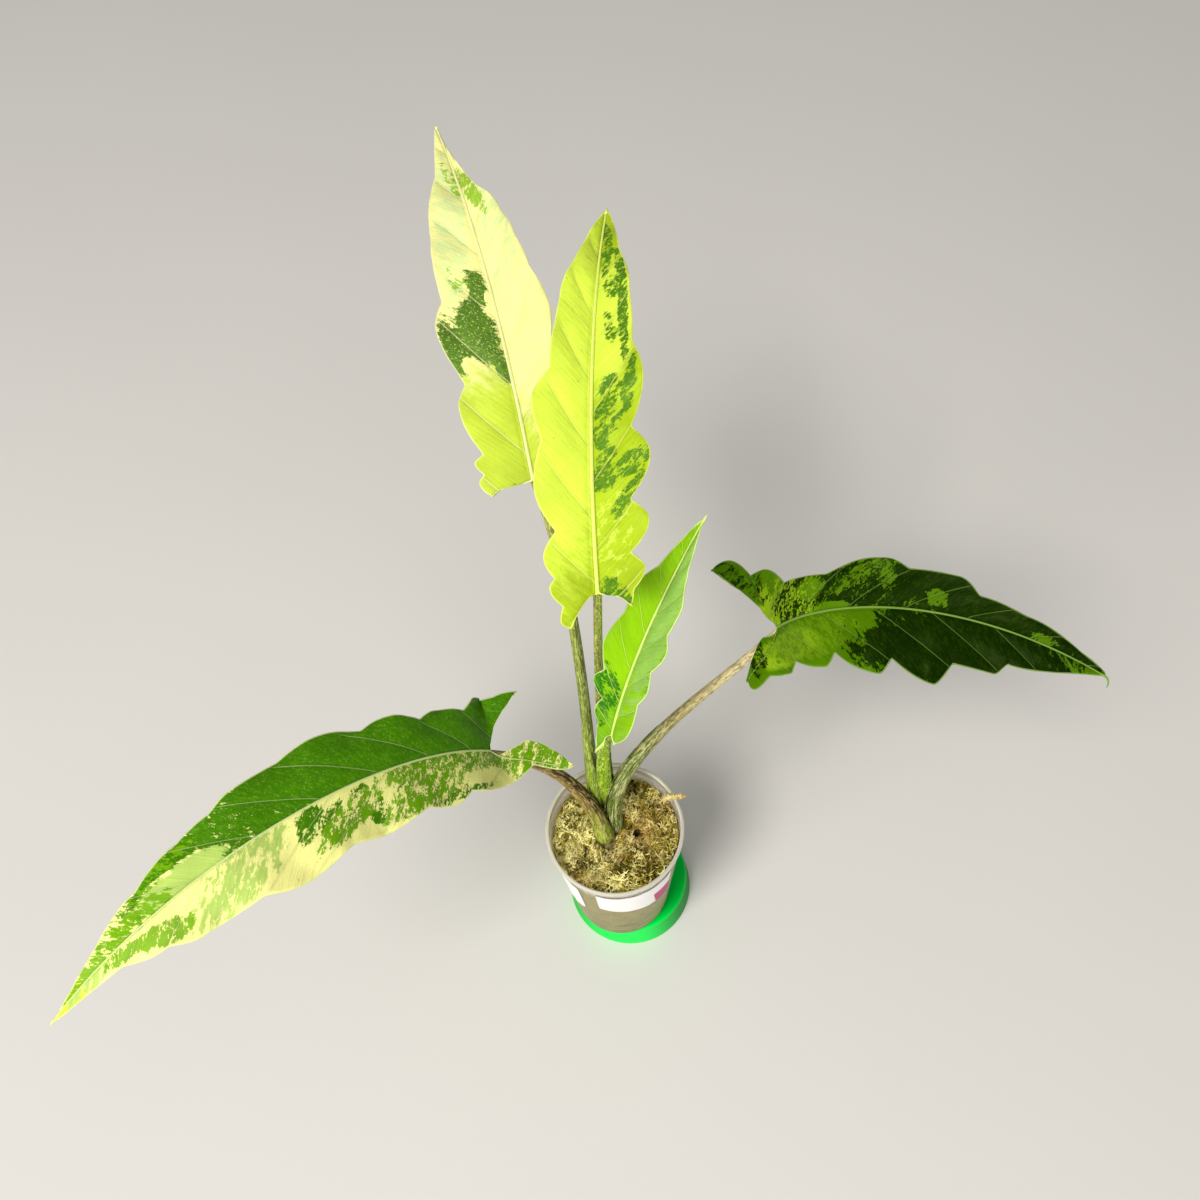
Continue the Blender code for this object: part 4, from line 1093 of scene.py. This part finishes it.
def make_blade(key, leaf):
    """One blade in full: fold, waves, raised midrib, sunken veins and the colour fields."""
    s, w, t, edge, faces = blade_sheet(leaf)
    spine = Spine(leaf)
    place, side, up = spine.at(s)
    length, seed = leaf["length"], len(key)
    reach = np.abs(w)
    right = w < 0
    fold = radians(leaf["fold"])
    height, wave_length, phase = leaf["wave"]
    strength = np.minimum(1.4, (reach / 30) ** 2)
    wave = height * strength * np.cos(tau * (s / wave_length + phase + 0.25 * right))

    lean, growth, spacing, first_left, first_right = leaf["veins"]
    ahead = s - (lean + growth * np.clip(s / length, 0, 1)) * reach
    vein_phase = (ahead - np.where(right, first_right, first_left)) / spacing
    near = np.abs(vein_phase - np.round(vein_phase)) * spacing / hypot(1.0, lean)
    envelope = np.sin(np.pi * np.clip(t, 0, 1)) * ease(0, 20, length - s)
    quilt = 1.9 * envelope * (np.sqrt(np.clip(near / 9, 0, 1)) - 0.5)
    rib_size = leaf["rib"] * np.interp(s, [-50, 0, length * 0.5, length], [0.35, 1.0, 0.72, 0.3])
    rib_distance = np.where(s >= 0, reach, np.hypot(s, w))
    for name, sign in zip(SIDES, (1, -1)):
        tip_s, tip_w = leaf[name][0]
        far = segment_distance(s, w, (tip_s * 0.9, sign * tip_w * 0.95))
        rib_distance = np.minimum(rib_distance, np.where(s < 6, far, 99.0))
    rib = rib_distance / rib_size
    ridge = 0.75 * rib_size * np.exp(-(rib**2) * 1.2) - 0.5 * np.exp(-((rib - 2.2) ** 2) / 1.5)
    ruffle = np.array([lump(a / 9, b / 14, seed, 1) for a, b in zip(s, w)])
    rise = reach * sin(fold) + wave + quilt + ridge + 1.1 * ruffle * t**3
    points = place + side * (w * cos(fold))[:, None] + up * rise[:, None]
    thin = 0.42 - 0.2 * t**4
    keel = 1.5 * np.interp(s, [-20, 0, length], [0.5, 1, 0.25]) * np.exp(-(rib**2) * 0.8)
    solid, solid_faces = thicken(points, faces, thin, thin + keel)

    values = {
        "grain_along": 0.70 * s + 0.70 * reach,
        "grain_across": 0.70 * reach - 0.70 * s,
        "half": 7.0 * right + seed,
        "phase": vein_phase,
        "vein_reach": ease(0.0, 0.12, 1 - t) * np.where(s < -3, 0.35, 1.0),
        "rib": rib,
        "edge": edge,
    }
    for name in ("tone", "dark", "mid", "flush"):
        values[name] = patch_field(leaf[name], s, w)
    values = {name: np.tile(value, 2) for name, value in values.items()}
    values["under"] = np.repeat([0.0, 1.0], len(s))
    sheet = Sheet(*values, "tip")
    sheet.add(solid, solid_faces, **values)
    add_hook(sheet, leaf, spine)
    sheet.piece(f"blade_{key}_fine", leaf_material(key, leaf), leaf["slots"][1], "blade_" + key)


def add_hook(sheet, leaf, spine):
    """The little hook at the tip, in which the midrib ends."""
    size, drop, brown = leaf["hook"]
    start, end = spine.at(np.array([leaf["length"] - 3.0, leaf["length"]]))[0]
    heading = unit(end - start)
    path = [start, end]
    for _ in range(7):
        heading = unit(heading - np.array([0.0, 0.0, drop / 6]))
        path.append(path[-1] + heading * size / 7)
    points, faces, share, _ = tube(path, np.linspace(0.75, 0.2, len(path)), 8)
    sheet.add(points, faces, edge=0.2, tip=brown * share, half=1.0)


def petiole_path(leaf, count):
    """Points of the stalk, from its foot on the crown to just under the blade."""
    foot = np.array([*leaf["foot"], CROWN_TOP_Z + GAP])
    start = foot + (0, 0, 1.5)
    place, _, up = (part[0] for part in Spine(leaf).at(np.array([1.5])))
    lean = np.linalg.norm(np.cross(unit(leaf["top_pull"]), up))
    drop = BLADE_THICKNESS / 2 + GAP + leaf["radii"][1] * lean + leaf["tuck"]
    top = place - up * drop
    first = start + leaf["foot_pull"]
    second = top - leaf["top_pull"]
    t = np.linspace(0, 1, count)[:, None]
    rest = 1 - t
    bend = first * 3 * rest**2 * t + second * 3 * rest * t**2
    return np.concatenate([[foot], start * rest**3 + bend + top * t**3])


def left_foot(height):
    """The left stalk stands in front of the others and ends in a rounded bulb."""
    rise = np.clip((height - 3.0) / 5.0, 0, 1)
    bulge = 1 + 0.07 * np.exp(-(((height - 9) / 6) ** 2))
    return (0.5 + 0.5 * np.sqrt(1 - (1 - rise) ** 2)) * bulge


def make_petiole(key, leaf):
    """A stalk with a wide foot and fine ribs, and the thin sheath that wraps its lower part."""
    count, sides = 150, 28
    path = petiole_path(leaf, count)
    share = np.linspace(0, 1, len(path))
    foot_radius, top_radius = leaf["radii"]
    radii = foot_radius + (top_radius - foot_radius) * share**0.8
    radii = radii * (1 + 0.06 * np.exp(-((share / 0.06) ** 2)))
    if key == "left":
        radii = radii * left_foot(path[:, 2] - path[0, 2])
    travelled = np.append(0.0, np.cumsum(np.linalg.norm(np.diff(path, axis=0), axis=1)))
    dark = unit(leaf["dark_side"])

    def ribbed(turn):
        return 1 + 0.025 * np.cos(7 * turn) + 0.02 * np.cos(11 * turn)

    points, faces, along, angle = tube(path, radii, sides, ribbed)
    outward = unit(points - sample(along, share, path))
    size = np.interp(along, share, radii)
    sheet = Sheet("length", "round_x", "round_y", "share", "side")
    sheet.add(points, faces, length=np.interp(along, share, travelled),
              round_x=size * np.cos(angle), round_y=size * np.sin(angle), share=along,
              side=outward @ dark)
    add_sheath(sheet, leaf["sheath"], path, radii, travelled, dark)
    sheet.piece(f"petiole_{key}_fine", stem_material(key, leaf), leaf["slots"][0], "petiole_" + key)


def add_sheath(sheet, sheath, path, radii, travelled, dark):
    """A thin wrap with a free edge, wide at the foot and drawn out to a point."""
    cover, stand_off, seam = sheath
    last, columns = round(cover * (len(path) - 1)), 30
    points, values = [], []
    for i in range(last + 1):
        t = i / last
        along = unit(path[min(i + 1, len(path) - 1)] - path[max(i - 1, 0)])
        front = unit(seam - along * (seam @ along))
        other = np.cross(along, front)
        half_open = np.interp(t, [0, 0.6, 0.92, 1.0], [0.25, 0.6, 1.3, 2.6])
        for k in range(columns + 1):
            u = 2 * k / columns - 1
            angle = pi + u * (pi - half_open)
            flare = 1.0 + 0.7 * abs(u) ** 6 * (1 - t**2) * ease(0, 0.25, t)
            radius = radii[i] + stand_off * (1 - t) ** 0.7 * flare + 0.25 * (1 - t**6)
            x, y, _ = radius * compass(angle)
            out = front * cos(angle) + other * sin(angle)
            points.append(path[i] + out * radius)
            values.append((travelled[i], x, y + 5, i / (len(path) - 1), out @ dark))
    index = np.arange(len(points)).reshape(last + 1, columns + 1)
    solid, faces = thicken(np.array(points), grid_faces(index), 0.22, 0.22)
    sheet.add(solid, faces, **dict(zip(sheet.values, np.transpose(values * 2))))


# Studio


PITCH = radians(59.95)
ROLL = radians(-5.81)
CAMERA_SPOT = (0.0058, -0.275, 0.955)
FLOOR_HALF = 6.0
WORLD_COLOUR = (1.0, 0.99, 0.97, 1.0)
# Lights: place, aim, size, power and colour
LIGHTS = {
    "key": ((-1.15, -1.35, 3.25), (0, 0.05, 0.25), 1.2, 87, (1.0, 0.97, 0.92)),
    "left_fill": ((-2.3, -1.7, 1.5), (0, 0, 0.2), 1.2, 26, (1.0, 0.98, 0.95)),
    "front": ((0.5, -2.6, 1.3), (0, 0, 0.15), 1.6, 26, (1.0, 0.98, 0.95)),
}


def make_floor():
    """A wide pale floor, a little uneven in tone."""
    mesh = bpy.data.meshes.new("floor")
    corners = [(x, y, 0.0) for y in (-FLOOR_HALF, FLOOR_HALF) for x in (-FLOOR_HALF, FLOOR_HALF)]
    mesh.from_pydata(corners, [], [(0, 1, 3, 2)])
    p = Paint("floor_paper")
    p.set(Base_Color=p.mix("d4d2ce", "dad8d4", p.noise(p.place(), 2)), Roughness=0.85)
    mesh.materials.append(p.material)
    add_object("floor", mesh)


def make_lights():
    world = bpy.data.worlds.new("studio")
    bpy.context.scene.world = world
    world.use_nodes = True
    background = world.node_tree.nodes["Background"]
    background.inputs["Color"].default_value = WORLD_COLOUR
    background.inputs["Strength"].default_value = 0.3
    for name, (place, aim, size, power, colour) in LIGHTS.items():
        data = bpy.data.lights.new(name, "AREA")
        data.shape = "DISK"
        data.size = size
        data.energy = power
        data.color = colour
        item = add_object(name, data)
        item.location = Vector(SHIFT) + Vector(place)
        item.rotation_mode = "QUATERNION"
        item.rotation_quaternion = (Vector(aim) - Vector(place)).to_track_quat("-Z", "Y")


def make_camera():
    data = bpy.data.cameras.new("camera")
    data.sensor_width = 36.0
    data.lens = 36.0
    data.clip_start = 0.01
    item = add_object("camera", data)
    tilt = Matrix.Rotation(pi / 2 - PITCH, 4, "X") @ Matrix.Rotation(ROLL, 4, "Z")
    item.matrix_world = Matrix.Translation(Vector(SHIFT) + Vector(CAMERA_SPOT)) @ tilt
    bpy.context.scene.camera = item


def main():
    bpy.context.scene.view_settings.view_transform = "Standard"
    make_camera()
    make_lights()
    make_floor()
    make_dish()
    make_cup()
    make_sticker("label_front", STICKER_FRONT, True, "sticker_front")
    make_sticker("label_side", STICKER_SIDE, False, "sticker_side")
    make_moss_bed()
    make_moss_strands()
    make_sprig()
    make_crown()
    for key, leaf in LEAVES.items():
        make_petiole(key, leaf)
        make_blade(key, leaf)


main()
